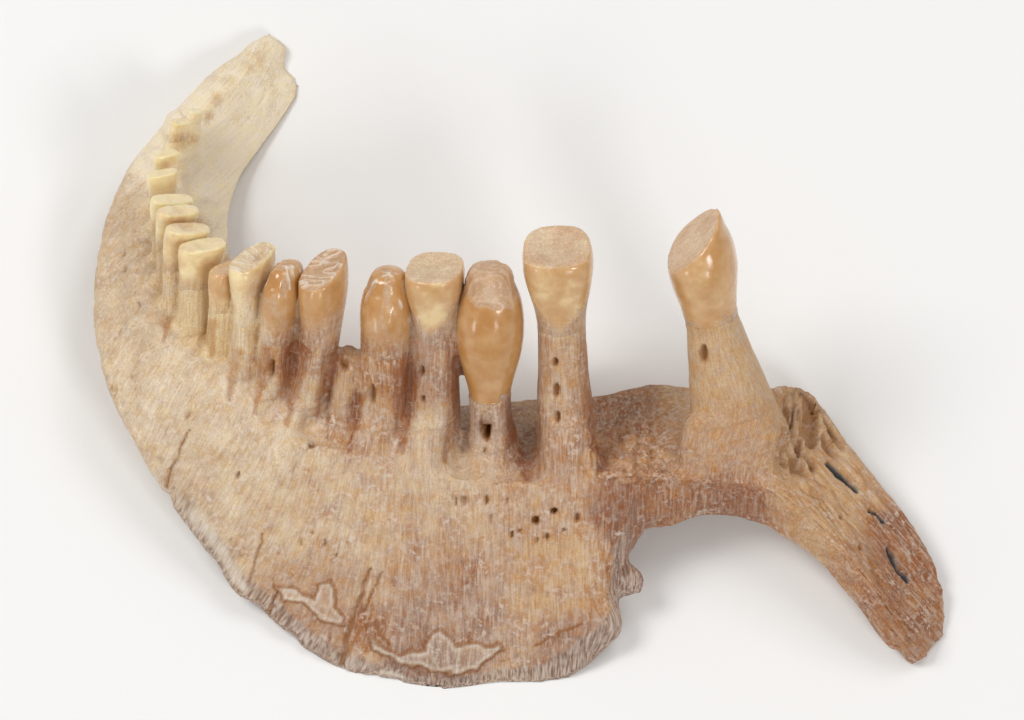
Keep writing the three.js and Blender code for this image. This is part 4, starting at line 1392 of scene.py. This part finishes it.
class FacePlaces:
    """Where each point of a crown lies, counted from the middle of its worn face."""

    FIRST_SEED = 100
    # Sizes of the patterns in millimetres: the worn face's outline, its ridges and their bends,
    # its grit, its streaks, and the waves on the glossy sides
    OUTLINE, RIDGE, BEND, GRIT, WAVE = 0.5, 0.42, 0.9, 0.25, 1.3
    STREAK = (0.45, 0.45, 1.3)
    # How far the grit and the waves stand out, in millimetres
    GRIT_LIFT, WAVE_LIFT = 0.03, 0.03
    # Where the cleft between two lobes lies and how wide it is, as shares of the crown's size
    CLEFT_PLACE, CLEFT_WIDTH = 0.1, 0.13

    def __init__(self, tooth: Tooth, places: Array, normals: Array) -> None:
        """Works out the places of all points.

        Args:
            tooth: the tooth that the crown belongs to.
            places: places in the drawing frame, one row each.
            normals: the outward directions there.
        """
        self.tooth, self.places, self.normals = tooth, places, normals
        self.number = TEETH.index(tooth)
        self.seed = self.FIRST_SEED + self.number
        self.size = min(tooth.wide[2], tooth.deep[2])
        self.middle, self.facing = tooth.worn_plane()
        self.height = (places - self.middle) @ self.facing
        self.sides = [side[0] for side in tooth.sides(np.array([3.0]))]
        self.ragged = octaves(places / self.OUTLINE, self.seed + 20, 3)
        along, rear, _ = self.sides
        flat = np.column_stack([places @ along, places @ rear, np.zeros(len(places))])
        bent = flat / (1.0, self.RIDGE, 1.0) + 0.5 * octaves(flat / self.BEND, self.seed, 2)[:, None]
        self.ridges = np.abs(octaves(bent, self.seed, 2))

    def worn(self) -> Array:
        """How worn each place is, from 0 on the glossy sides to 1.

        Returns:
            One share for each place.
        """
        if self.tooth.worn is Wear.CAP:
            start = self.tooth.wear - 1.7
            return smooth(self.height + 0.4 * self.ragged, start, start + 0.4)
        if self.tooth.worn is Wear.STREAKED:
            streak = np.column_stack([self.places @ side for side in self.sides]) / self.STREAK
            pale = smooth(octaves(streak, self.seed + 5, 2), -0.05, 0.3)
            return smooth(self.height + 0.6 * self.ragged, -1.7, -0.5) * pale
        turned = smooth(self.normals @ self.facing + 0.1 * self.ragged, 0.7, 0.92)
        return smooth(self.height, -0.3, -0.1) * turned

    def lift(self, worn: Array) -> Array:
        """How far each place moves out along its normal, in millimetres.

        Args:
            worn: how worn each place is.

        Returns:
            One distance for each place.
        """
        form = WEAR_FORMS[self.tooth.worn]
        along, rear, _ = self.sides
        offset = self.places - self.middle
        away = np.linalg.norm(offset - self.height[:, None] * self.facing, axis=1)
        dish = 1 - smooth(away / self.size, 0.1, 0.5)
        crossed = form.crossed * (smooth(self.ridges, 0.0, 0.4) - 0.3)
        lift = -worn * (form.hollow * self.size * dish + crossed)
        grit = octaves(self.places / self.GRIT, self.seed + 40, 2)
        lift += worn * self.tooth.wear * self.GRIT_LIFT * grit
        parted = np.exp(-((offset @ along / self.size - self.CLEFT_PLACE) / self.CLEFT_WIDTH) ** 2)
        lift -= self.tooth.cleft * worn * parted * smooth(offset @ rear / self.size, -0.2, 0.4)
        waves = octaves(self.places / self.WAVE, self.seed + 60, 2)
        return lift + (1 - worn) * self.WAVE_LIFT * waves

    def notes(self, worn: Array) -> dict[str, Array]:
        """What the crown's material reads at each vertex.

        Args:
            worn: how worn each place is.

        Returns:
            The values of each attribute, by its name.
        """
        tooth, form = self.tooth, WEAR_FORMS[self.tooth.worn]
        levels = np.linspace(1.6, 4, 60)
        axis = tooth.axis(levels)
        best = ((self.places[:, None] - axis[None]) ** 2).sum(2).argmin(1)
        level, offset = levels[best], self.places - axis[best]
        beside = np.column_stack([offset @ self.sides[0], offset @ self.sides[1]])
        side, behind = (beside / (tooth.wide[1] / 2)).T
        above = (level - 2) * np.linalg.norm(np.subtract(tooth.top, tooth.neck))
        border = form.border + tooth.vee * np.abs(side) ** 1.5 + 0.2 * self.ragged
        # Painted shade and stain in the gap beside the crown's root, as on the stalk below: it darkens
        # stain and ochre and thins the frost
        shade = GAP_SHADE.get(tooth.name, 0.0) * shaded_side(side, behind) * (1 - smooth(level, 1.9, 2.2))
        dark, ochre = stain_at(picture_places(self.places))
        young = self.number >= FIRST_YOUNG
        frost = 0.2 if tooth.worn is Wear.FACET or young else 0.8
        return {
            "worn": worn * min(1.0, 2 * tooth.wear),
            "ridge": (1 - smooth(self.ridges, 0.0, 0.2)) * worn * form.pale,
            "root": 1 - smooth(above - border, 0.05, form.fade),
            "amber": np.full(len(worn), tooth.amber),
            "stain": dark + GAP_STAIN_AND_SHADE_DARKNESS * shade + 0.04,
            "ochre": np.clip(ochre + GAP_STAIN_AND_SHADE_OCHRE * shade + YOUNG_OCHRE * young, 0, 1),
            "frost": frost * (1 - 0.9 * shade),
            "grain": stalk_grain(np.full(len(worn), self.number), self.places, beside),
        }


@dataclass
class Crown:
    """The enameloid crown of one tooth, with its worn face. Sizes are in millimetres."""

    NECK_SQUARENESS = 2.15
    LEAST_RADIUS = 0.02

    tooth: Tooth
    proud: float = -0.02
    sink: float = 1.1
    tuck: float = 0.26
    rise: float = 1.2
    segments: int = 56
    rings: int = 48
    rim: float = 0.14
    finest: float = 0.055
    voxels_across: float = 0.024

    def build(self) -> Piece:
        """Shapes a sphere into the crown, wears its top flat and roughens the worn face.

        Returns:
            The crown.
        """
        bpy.ops.object.select_all(action="DESELECT")
        bpy.ops.mesh.primitive_uv_sphere_add(segments=self.segments, ring_count=self.rings, radius=1)
        crown = bpy.context.object
        crown.name = crown.data.name = f"{self.tooth.name}_crown"
        self._shape(crown)
        if self.tooth.worn not in (Wear.CAP, Wear.STREAKED):
            self._wear(crown)
        size = min(self.tooth.wide[2], self.tooth.deep[2])
        voxel = max(self.finest, self.voxels_across * size) * MM
        finish_with(crown, "REMESH", mode="VOXEL", voxel_size=voxel)
        finish_with(crown, "SMOOTH", factor=0.5, iterations=WEAR_FORMS[self.tooth.worn].smoothing)
        self._roughen(crown)
        bpy.ops.object.shade_smooth()
        return crown

    def _shape(self, crown: Piece) -> None:
        """Moves the sphere's vertices onto the crown's own form, which rises out of the stalk.

        Args:
            crown: a sphere of radius 1.
        """
        tooth = self.tooth
        unit = read_places(crown)
        turn = np.arctan2(unit[:, 1], unit[:, 0])
        points = tooth.rail_points()
        stalk, top = (np.linalg.norm(points[k + 1] - points[k]) for k in (1, 2))
        risen = (unit[:, 2] + 1) / 2 * (self.sink + top * (1 + tooth.crest))
        above = (risen - self.sink) / top
        level = 2 + np.where(above < 0, above * top / stalk, above)
        level = np.where(above > 1, 3 + np.clip((above - 1) / tooth.crest, 0, 1), level)
        square = WEAR_FORMS[tooth.worn].squareness - self.NECK_SQUARENESS
        power = 2 / (self.NECK_SQUARENESS + square * smooth(level, 2.0, 2.7))
        swell = self.proud - self.tuck * (1 - smooth(risen, 0, self.rise))
        pole = np.sqrt(np.clip(risen / self.tuck, 0, 1))
        places = tooth.axis(level)
        along, rear, _ = tooth.sides(level)
        for share, sizes, side in (
                (np.cos(turn), tooth.wide, along), (np.sin(turn), tooth.deep, rear)):
            half = np.maximum(tooth.half(sizes, level) + swell, self.LEAST_RADIUS) * pole
            places += side * (np.sign(share) * np.abs(share) ** power * half)[:, None]
        write_places(crown, to_part(places))

    def _wear(self, crown: Piece) -> None:
        """Cuts the crown off along its worn face and rounds the rim.

        Args:
            crown: the whole crown.
        """
        place, normal = self.tooth.worn_plane()
        foot, tip = to_part(np.array([place, place + normal]))
        with editing(crown):
            bpy.ops.mesh.bisect(plane_co=foot, plane_no=(tip - foot) / np.linalg.norm(tip - foot),
                                use_fill=True, clear_outer=True, threshold=CUT_ERROR)
            bpy.ops.mesh.bevel(offset=self.rim * MM, segments=3, affect="EDGES")
            bpy.ops.mesh.select_all(action="SELECT")
            bpy.ops.mesh.normals_make_consistent(inside=False)

    def _roughen(self, crown: Piece) -> None:
        """Hollows and ridges the worn face, and notes for the material where it is.

        Args:
            crown: the worn and smoothed crown.
        """
        places, normals = to_drawing(read_places(crown)), turned_to_drawing(read_normals(crown))
        face = FacePlaces(self.tooth, places, normals)
        worn = face.worn()
        write_places(crown, to_part(places + normals * face.lift(worn)[:, None]))
        for name, values in face.notes(worn).items():
            write_attribute(crown, name, values)


@dataclass
class DriedThreads:
    """Fine threads of dried skin between the stalks. Sizes are in millimetres."""

    half_thickness: float = 0.010
    lengths: Pair = (0.4, 1.2)
    rooted: float = 0.05
    taper: float = 0.6
    steps: int = 7
    seed: int = 23
    # How far a thread stands up from the bone and strays at its root, how strongly it curls,
    # and how far it bends and wanders at each step
    upright: float = 0.7
    stray: float = 0.6
    curl: float = 0.9
    bend: float = 0.35
    wander: float = 0.12
    # Each row: place on the picture plane, half width, half height, and how many threads
    areas: tuple[tuple[float, float, float, float, int], ...] = (
        (-10.2, -3.2, 0.7, 1.1, 22), (-4.2, -5.2, 0.7, 1.6, 26), (5.4, -4.0, 0.9, 1.4, 40),
        (-12.3, -0.3, 1.0, 1.2, 22), (0.2, -4.2, 0.6, 1.6, 18), (7.4, -5.6, 1.8, 0.9, 34),
        (-5.6, -3.2, 1.4, 1.0, 14), (-15.6, -1.6, 1.2, 0.9, 8),
    )

    def build(self, skins: Sequence[Piece]) -> Piece:
        """Grows the threads from places on the bone and turns them into one mesh.

        Args:
            skins: the pieces of bone that they stand on.

        Returns:
            The threads.
        """
        draw = np.random.default_rng(self.seed)
        places = to_drawing(np.vstack([read_places(skin) for skin in skins]))
        normals = turned_to_drawing(np.vstack([read_normals(skin) for skin in skins]))
        picture = picture_places(places)
        curve = bpy.data.curves.new("dried_threads", "CURVE")
        curve.dimensions = "3D"
        curve.bevel_depth = self.half_thickness * MM
        curve.bevel_resolution = 1
        curve.use_fill_caps = True
        for x, y, wide, high, count in self.areas:
            inside = (np.abs(picture - (x, y)) < (wide, high)).all(1) & (normals[:, 2] > 0.1)
            for root in draw.choice(np.flatnonzero(inside), count):
                self._grow(curve, places[root], normals[root], draw)
        threads = add_object("dried_threads", curve)
        make_active(threads)
        bpy.ops.object.convert(target="MESH")
        bpy.ops.object.shade_smooth()
        return threads

    def _grow(self, curve: bpy.types.Curve, root: Array, normal: Array, draw: np.random.Generator) -> None:
        """Adds one thread, which leaves the bone and bends as it goes.

        Args:
            curve: the curve that the thread is added to.
            root: where it leaves the bone.
            normal: the bone's outward direction there.
            draw: where its bends are drawn from.
        """
        heading = normal * self.upright + draw.normal(0, self.stray, 3)
        turn = draw.normal(0, self.curl, 3)
        length = draw.uniform(*self.lengths)
        place = root - normal * self.rooted
        spline = curve.splines.new("POLY")
        spline.points.add(self.steps - 1)
        for number, point in enumerate(spline.points):
            point.co = (*to_part(place[None])[0], 1.0)
            point.radius = 1.0 - self.taper * number / self.steps
            heading = heading + turn * self.bend + draw.normal(0, self.wander, 3)
            place = place + heading / np.linalg.norm(heading) * length / self.steps


# Where nearly all of a noise's values lie
NOISE_RANGE = (0.35, 0.65)


def linear(colour: str) -> tuple[float, float, float, float]:
    """Turns an sRGB hex colour into linear red, green, blue and alpha.

    Args:
        colour: the colour, such as "#FFFFFF".

    Returns:
        The four shares.
    """
    shares = [int(colour[k:k + 2], 16) / 255 for k in (1, 3, 5)]
    curved = [s / 12.92 if s <= 0.04045 else ((s + 0.055) / 1.055) ** 2.4 for s in shares]
    return (*curved, 1.0)


def add_node(
    tree: Tree,
    kind: str,
    inputs: dict[str | int, object] | None = None,
    stops: Sequence[tuple[float, str]] = (),
    **settings: object,
) -> bpy.types.Node:
    """Adds one node with its settings, its values and its links.

    Args:
        tree: the node tree.
        kind: the node's type.
        inputs: a value, or an output to link, for each named or numbered input.
        stops: places and sRGB colours of a colour ramp.
        settings: the node's own settings.

    Returns:
        The node.
    """
    made = tree.nodes.new(kind)
    for name, value in settings.items():
        setattr(made, name, value)
    for key, value in (inputs or {}).items():
        if isinstance(value, Socket):
            tree.links.new(value, made.inputs[key])
        else:
            made.inputs[key].default_value = value
    if stops:
        elements = made.color_ramp.elements
        while len(elements) < len(stops):
            elements.new(1.0)
        for element, (place, colour) in zip(elements, stops):
            element.position = place
            element.color = linear(colour)
    return made


def new_material(name: str) -> tuple[bpy.types.Material, Tree]:
    """An empty material and its node tree.

    Args:
        name: the material's name.

    Returns:
        The material and the tree.
    """
    made = bpy.data.materials.new(name)
    made.use_nodes = True
    made.node_tree.nodes.clear()
    return made, made.node_tree


def read_attributes(tree: Tree, names: Iterable[str]) -> dict[str, Socket]:
    """The numbers that a surface carries, by name."""
    made = {name: add_node(tree, "ShaderNodeAttribute", attribute_name=name) for name in names}
    return {name: node.outputs["Fac"] for name, node in made.items()}


# What is worked out of earlier values: the new value's name, the operation and what it works on
Sum = tuple[str, str, object, object]


def work_out(tree: Tree, values: dict[str, Socket], spreads: Sequence[tuple[str, str, Pair]],
             sums: Sequence[Sum], clamped: Sequence[str] = ()) -> None:
    """Works out named values from earlier ones.

    Args:
        tree: the node tree.
        values: the named values, to which the new ones are added.
        spreads: for each noise whose middle range is spread out, the new value's name, the
            noise's name, and what it then runs from and to.
        sums: the new values that are worked out one after another.
        clamped: those that are held between 0 and 1.
    """
    for name, noise, (low, high) in spreads:
        values[name] = add_node(tree, "ShaderNodeMapRange", {
            "Value": values[noise], "From Min": NOISE_RANGE[0], "From Max": NOISE_RANGE[1],
            "To Min": low, "To Max": high}).outputs[0]
    for name, operation, first, second in sums:
        inputs = {0: values.get(first, first), 1: values.get(second, second)}
        settings = {"operation": operation, "use_clamp": name in clamped}
        values[name] = add_node(tree, "ShaderNodeMath", inputs, **settings).outputs[0]


def coated(tree: Tree, colour: object, coats: Sequence[tuple[Socket, object]]) -> Socket:
    """One colour laid over another, again and again.

    Args:
        tree: the node tree.
        colour: the undermost colour, from a link or as linear shares.
        coats: for each coat, how far it covers and its colour, from a link or as sRGB hex.

    Returns:
        The colour that is seen.
    """
    for share, over in coats:
        over = linear(over) if isinstance(over, str) else over
        inputs = {0: share, 6: colour, 7: over}
        colour = add_node(tree, "ShaderNodeMix", inputs, data_type="RGBA").outputs[2]
    return colour


@dataclass(frozen=True)
class BoneFinish:
    """Dry fish bone: matt, slightly waxy, fibrous, and stained darker towards its edges."""

    # Widths and runs of the patterns. Real fibres are about 0.03 mm wide, too fine to show in
    # the render, so they are drawn as coarse as they need to show
    fibre_mm: Pair = (0.10, 2.0)
    frost_mm: Pair = (0.17, 1.3)
    lamella_mm: Pair = (0.12, 5.0)
    grit_mm: float = 0.12
    patch_mm: float = 1.3
    glow_mm: float = 0.715
    crumb_mm: float = 0.34
    roughness: float = 0.52
    ash: Stops = (
        (0.0, "#F6E7CF"), (0.25, "#D0B797"), (0.45, "#B29079"), (0.68, "#8C6855"), (1.0, "#6A4230"))
    ochre: Stops = (
        (0.0, "#F5E3B8"), (0.25, "#D2AC78"), (0.45, "#B98551"), (0.68, "#96592C"), (1.0, "#733C1B"))

    def colour(self, tree: Tree) -> tuple[Socket, Socket]:
        """The bone's colour and its fine relief, from the attributes that its surface carries.

        Args:
            tree: the node tree.

        Returns:
            The colour and the height of the relief.
        """
        values = read_attributes(tree, (
            "stain", "ochre", "outline", "chalk", "dark_slit", "hollow", "frost", "band"))
        values |= {
            "fibres": self._along_grain(tree, self.fibre_mm, 3.0),
            "powder": self._along_grain(tree, self.frost_mm, 5.0),
            "lamella": self._along_grain(tree, self.lamella_mm, 1.0),
            "grit": self._noise(tree, self.grit_mm, 3.0),
            "patches": self._noise(tree, self.patch_mm, 4.0),
            "glow": self._noise(tree, self.glow_mm, 3.0),
            "crumbs": self._noise(tree, self.crumb_mm, 5.0),
        }
        work_out(tree, values, (
            ("fibre_tone", "fibres", (-0.07, 0.07)), ("grit_tone", "grit", (-0.05, 0.05)),
            ("blotch_tone", "patches", (-0.10, 0.10)), ("glow_tone", "glow", (-0.42, 0.42)),
            ("powdered", "powder", (-0.3, 0.5)), ("crumbly", "crumbs", (-0.75, 0.62)),
            ("patchy", "patches", (0.1, 1.0)), ("striped", "lamella", (0.0, 1.0)),
            ("streaky", "powder", (0.0, 1.0)),
        ), (
            ("dark", "ADD", "stain", "fibre_tone"), ("dark", "ADD", "dark", "grit_tone"),
            ("blotched", "MULTIPLY", "blotch_tone", "frost"), ("dark", "ADD", "dark", "blotched"),
            ("rim", "MULTIPLY", "outline", 0.12), ("dark", "ADD", "dark", "rim"),
            ("glowing", "ADD", "ochre", "glow_tone"), ("rust", "MULTIPLY", "outline", 0.8),
            ("warm", "ADD", "glowing", "rust"), ("frosted", "MULTIPLY", "powdered", "frost"),
            ("crumbled", "MULTIPLY", "crumbly", "frost"), ("crumbled", "MULTIPLY", "crumbled", "patchy"),
            ("banded", "MULTIPLY", "band", 0.7), ("chalked", "MULTIPLY", "chalk", 0.7),
            ("outlined", "MULTIPLY", "outline", 0.75), ("relief", "MULTIPLY", "crumbs", 2.0),
            ("relief", "ADD", "fibres", "relief"), ("relief", "ADD", "relief", "grit"),
            ("powdering", "MULTIPLY", "powder", 0.9), ("relief", "ADD", "relief", "powdering"),
        ), ("warm", "frosted", "crumbled"))
        # dark carries the painted shade of the gaps between the stalks as well as the stain
        ash, ochre = (add_node(tree, "ShaderNodeValToRGB", {"Fac": values["dark"]}, stops).outputs[0]
                      for stops in (self.ash, self.ochre))
        stripes, chalk = (
            coated(tree, linear(dark), [(values[share], pale)])
            for dark, share, pale in (("#6B5040", "striped", "#CDBCAE"), ("#CDB79A", "streaky", "#EADFD2")))
        # The hollow coat darkens pits, cracks and spongy cavities by their depth: partly their stain,
        # partly painted shade
        coats = (("warm", ochre), ("frosted", "#DCC8B4"), ("crumbled", "#EBDDCD"), ("banded", stripes),
                 ("chalked", chalk), ("outlined", "#8F5A2B"), ("hollow", "#95602A"), ("dark_slit", "#26282B"))
        return coated(tree, ash, [(values[share], over) for share, over in coats]), values["relief"]

    def material(self) -> bpy.types.Material:
        """The bone's material.

        Returns:
            The material.
        """
        # Air-dried fish bone, grown in fine fibres: matt and chalky to the eye, straw-coloured
        # where it is clean and brown where fat has dried into it
        made, tree = new_material("dry_bone")
        bone, relief = self.colour(tree)
        bump = add_node(tree, "ShaderNodeBump", {
            "Height": relief, "Strength": 0.5, "Distance": 0.05 * MM})
        shader = add_node(tree, "ShaderNodeBsdfPrincipled", {
            "Base Color": bone, "Roughness": self.roughness, "Normal": bump.outputs["Normal"],
            "IOR": 1.55, "Specular IOR Level": 0.4})
        add_node(tree, "ShaderNodeOutputMaterial", {"Surface": shader.outputs[0]})
        return made

    @staticmethod
    def _along_grain(tree: Tree, size: Pair, detail: float) -> Socket:
        """Noise with its width and its run along the fibres in millimetres.

        Args:
            tree: the node tree.
            size: the width and the run.
            detail: how many finer layers it has.

        Returns:
            The noise, from 0 to 1.
        """
        grain = add_node(tree, "ShaderNodeAttribute", attribute_name="grain").outputs["Vector"]
        counted = add_node(tree, "ShaderNodeVectorMath", {
            0: grain, 1: (1 / size[0], 1 / size[1], 1 / size[0])}, operation="MULTIPLY").outputs[0]
        made = add_node(tree, "ShaderNodeTexNoise", {
            "Vector": counted, "Scale": 1.0, "Detail": detail, "Roughness": 0.6, "Distortion": 0.3})
        return made.outputs["Fac"]

    @staticmethod
    def _noise(tree: Tree, size: float, detail: float) -> Socket:
        """Noise that runs the same in all directions, with its size in millimetres.

        Args:
            tree: the node tree.
            size: its size in millimetres.
            detail: how many finer layers it has.

        Returns:
            The noise, from 0 to 1.
        """
        place = add_node(tree, "ShaderNodeTexCoord").outputs["Object"]
        made = add_node(tree, "ShaderNodeTexNoise", {
            "Vector": place, "Scale": 1 / (size * MM), "Detail": detail, "Roughness": 0.6})
        return made.outputs["Fac"]


@dataclass(frozen=True)
class CrownFinish:
    """Enameloid: honey-coloured, clear enough to glow, glossy on its sides and dull where worn."""

    bone: BoneFinish = BoneFinish()
    sides: Stops = (
        (0.0, "#F6E1AE"), (0.45, "#D6AC78"), (1.0, "#C0894B"))
    worn: Stops = (
        (0.0, "#E6D2AE"), (0.5, "#D4B18C"), (1.0, "#C29A74"))
    # Real scratches are about 0.02 mm wide: the grit is drawn as coarse as it needs to show
    cloud_mm: float = 1.4
    grit_mm: float = 0.16
    gloss: float = 0.2
    dullness: float = 0.46

    def material(self) -> bpy.types.Material:
        """The crowns' material.

        Returns:
            The material.
        """
        # Enameloid, the glassy cap of a fish's tooth, polished by use: a deep honey colour with
        # small bright lights on the sides, and dull scratched faces
        made, tree = new_material("enameloid")
        values = read_attributes(tree, ("worn", "ridge", "root", "amber"))
        place = add_node(tree, "ShaderNodeTexCoord").outputs["Object"]
        for name, size, detail, roughness in (
                ("cloud", self.cloud_mm, 3.0, 0.55), ("grit", self.grit_mm, 4.0, 0.7)):
            values[name] = add_node(tree, "ShaderNodeTexNoise", {
                "Vector": place, "Scale": 1 / (size * MM), "Detail": detail,
                "Roughness": roughness}).outputs["Fac"]
        root, values["relief"] = self.bone.colour(tree)
        work_out(tree, values, (
            ("cloudy", "cloud", (-0.22, 0.22)), ("gritty", "grit", (-0.28, 0.28)),
        ), (
            ("tone", "ADD", "amber", "cloudy"), ("specks", "ADD", "tone", "gritty"),
            ("matt", "MAXIMUM", "worn", "root"), ("scratched", "MULTIPLY", "grit", "worn"),
            ("bony", "MULTIPLY", "relief", "root"), ("bumped", "ADD", "scratched", "bony"),
        ))
        sides, worn = (add_node(tree, "ShaderNodeValToRGB", {"Fac": values[name]}, stops).outputs[0]
                       for name, stops in (("tone", self.sides), ("specks", self.worn)))
        colour = coated(tree, sides, (
            (values["worn"], worn), (values["ridge"], "#EFE3D2"), (values["root"], root)))
        dull = add_node(tree, "ShaderNodeMapRange", {
            "Value": values["matt"], "To Min": self.gloss, "To Max": self.dullness})
        bump = add_node(tree, "ShaderNodeBump", {
            "Height": values["bumped"], "Strength": 0.5, "Distance": 0.06 * MM})
        shader = add_node(tree, "ShaderNodeBsdfPrincipled", {
            "Base Color": colour, "Roughness": dull.outputs[0], "Normal": bump.outputs["Normal"],
            "Subsurface Weight": 0.4, "Subsurface Radius": (1.0, 0.62, 0.35),
            "Subsurface Scale": 0.7 * MM, "IOR": 1.6, "Coat Weight": 0.3, "Coat Roughness": 0.2})
        add_node(tree, "ShaderNodeOutputMaterial", {"Surface": shader.outputs[0]})
        return made


@dataclass(frozen=True)
class TissueFinish:
    """Dried skin and threads: pale, thin and slightly glossy."""

    colour: str = "#D9C9B6"
    darker: str = "#C7A98A"
    patch_mm: float = 0.8

    def material(self) -> bpy.types.Material:
        """The threads' material.

        Returns:
            The material.
        """
        # Skin that has dried and shrunk to threads: pale, thin and a little glossy
        made, tree = new_material("dried_threads")
        place = add_node(tree, "ShaderNodeTexCoord").outputs["Object"]
        noise = add_node(tree, "ShaderNodeTexNoise", {"Vector": place, "Scale": 1 / (self.patch_mm * MM)})
        colour = coated(tree, linear(self.colour), [(noise.outputs["Fac"], self.darker)])
        shader = add_node(tree, "ShaderNodeBsdfPrincipled", {"Base Color": colour, "Roughness": 0.45})
        add_node(tree, "ShaderNodeOutputMaterial", {"Surface": shader.outputs[0]})
        return made


@dataclass(frozen=True)
class TableFinish:
    """A pale painted table top with a faint tooth."""

    colour: str = "#F4F3F1"
    tooth_mm: float = 0.6

    def material(self) -> bpy.types.Material:
        """The table's material.

        Returns:
            The material.
        """
        # Board painted matt with a roller: an even pale ground that shows only soft shadows
        made, tree = new_material("pale_table")
        place = add_node(tree, "ShaderNodeTexCoord").outputs["Object"]
        noise = add_node(tree, "ShaderNodeTexNoise", {"Vector": place, "Scale": 1 / (self.tooth_mm * MM)})
        bump = add_node(tree, "ShaderNodeBump", {
            "Height": noise.outputs["Fac"], "Strength": 0.05, "Distance": 0.05 * MM})
        shader = add_node(tree, "ShaderNodeBsdfPrincipled", {
            "Base Color": linear(self.colour), "Roughness": 0.8, "Normal": bump.outputs["Normal"]})
        add_node(tree, "ShaderNodeOutputMaterial", {"Surface": shader.outputs[0]})
        return made


@dataclass(frozen=True)
class Softbox:
    """A square lamp, placed in the drawing frame in millimetres and aimed at the bone."""

    name: str
    place: Triple
    size: float
    power: float

    def build(self) -> Piece:
        """The lamp.

        Returns:
            The lamp.
        """
        lamp = bpy.data.lights.new(self.name, "AREA")
        lamp.shape = "SQUARE"
        lamp.size = self.size * MM
        lamp.energy = self.power
        made = add_object(self.name, lamp)
        place = Vector(to_part(np.array([self.place]))[0])
        made.location = place
        made.rotation_euler = (-place).to_track_quat("-Z", "Y").to_euler()
        return made


@dataclass
class Studio:
    """The table, the lamps, the pale surroundings and the camera."""

    table_size: float = 4.0
    surround: float = 0.38
    lamps: tuple[Softbox, ...] = (
        Softbox("key", (-260, 200, 340), 180, 0.92),
        Softbox("fill", (190, -190, 400), 120, 0.54),
        Softbox("top", (150, 300, 290), 180, 0.38),
        Softbox("glint_left", (-335, -310, 205), 60, 0.10),
        Softbox("glint_right", (115, -350, 317), 60, 0.10),
    )

    def build(self) -> None:
        """Sets up everything round the bone."""
        bpy.ops.object.select_all(action="DESELECT")
        bpy.ops.mesh.primitive_plane_add(size=self.table_size, location=(0, 0, 0))
        table = bpy.context.object
        table.name = table.data.name = "table"
        table.data.materials.append(TableFinish().material())
        table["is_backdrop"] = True
        for lamp in self.lamps:
            lamp.build()
        world = bpy.data.worlds.new("surround")
        world.use_nodes = True
        background = world.node_tree.nodes["Background"]
        background.inputs["Color"].default_value = linear("#FFFFFF")
        background.inputs["Strength"].default_value = self.surround
        bpy.context.scene.world = world
        bpy.context.scene.view_settings.view_transform = "Standard"
        self._camera()

    def _camera(self) -> None:
        """Places the camera straight above the drawing, so the picture has its framing."""
        camera = bpy.data.cameras.new("camera")
        camera.sensor_width = SENSOR_WIDTH
        camera.lens = SENSOR_WIDTH * CAMERA_PLACE[2] / VIEW_WIDTH
        camera.clip_end = 10.0
        made = add_object("camera", camera)
        made.location = to_part(CAMERA_PLACE[None])[0]
        made.rotation_euler = (REST_TILT, 0, 0)
        bpy.context.scene.camera = made


def main() -> None:
    """Builds the arch in order, dresses it and reports each piece."""
    logging.basicConfig(level=logging.INFO, format="%(message)s")
    Studio().build()
    bone, enameloid = BoneFinish().material(), CrownFinish().material()
    pieces = BoneSkin().build(frame["nodes"])
    crowns = [Crown(tooth).build() for tooth in TEETH if tooth.crowned]
    threads = [DriedThreads().build(pieces)]
    dressed = (
        (pieces, bone, "bone"), (crowns, enameloid, "enameloid"),
        (threads, TissueFinish().material(), "dried_tissue"),
    )
    for group, material, slot in dressed:
        for piece in group:
            piece.data.materials.append(material)
            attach(piece, "root")
            log.info("%s: %d faces", piece.name, len(piece.data.polygons))
    for piece in pieces:
        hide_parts(*frame["nodes"])
    boxes = {"cad": CAD_BOX, "visual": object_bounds()}
    sizes = {name: [list(corner) for corner in box] for name, box in boxes.items()}


if __name__ == "__main__":
    main()
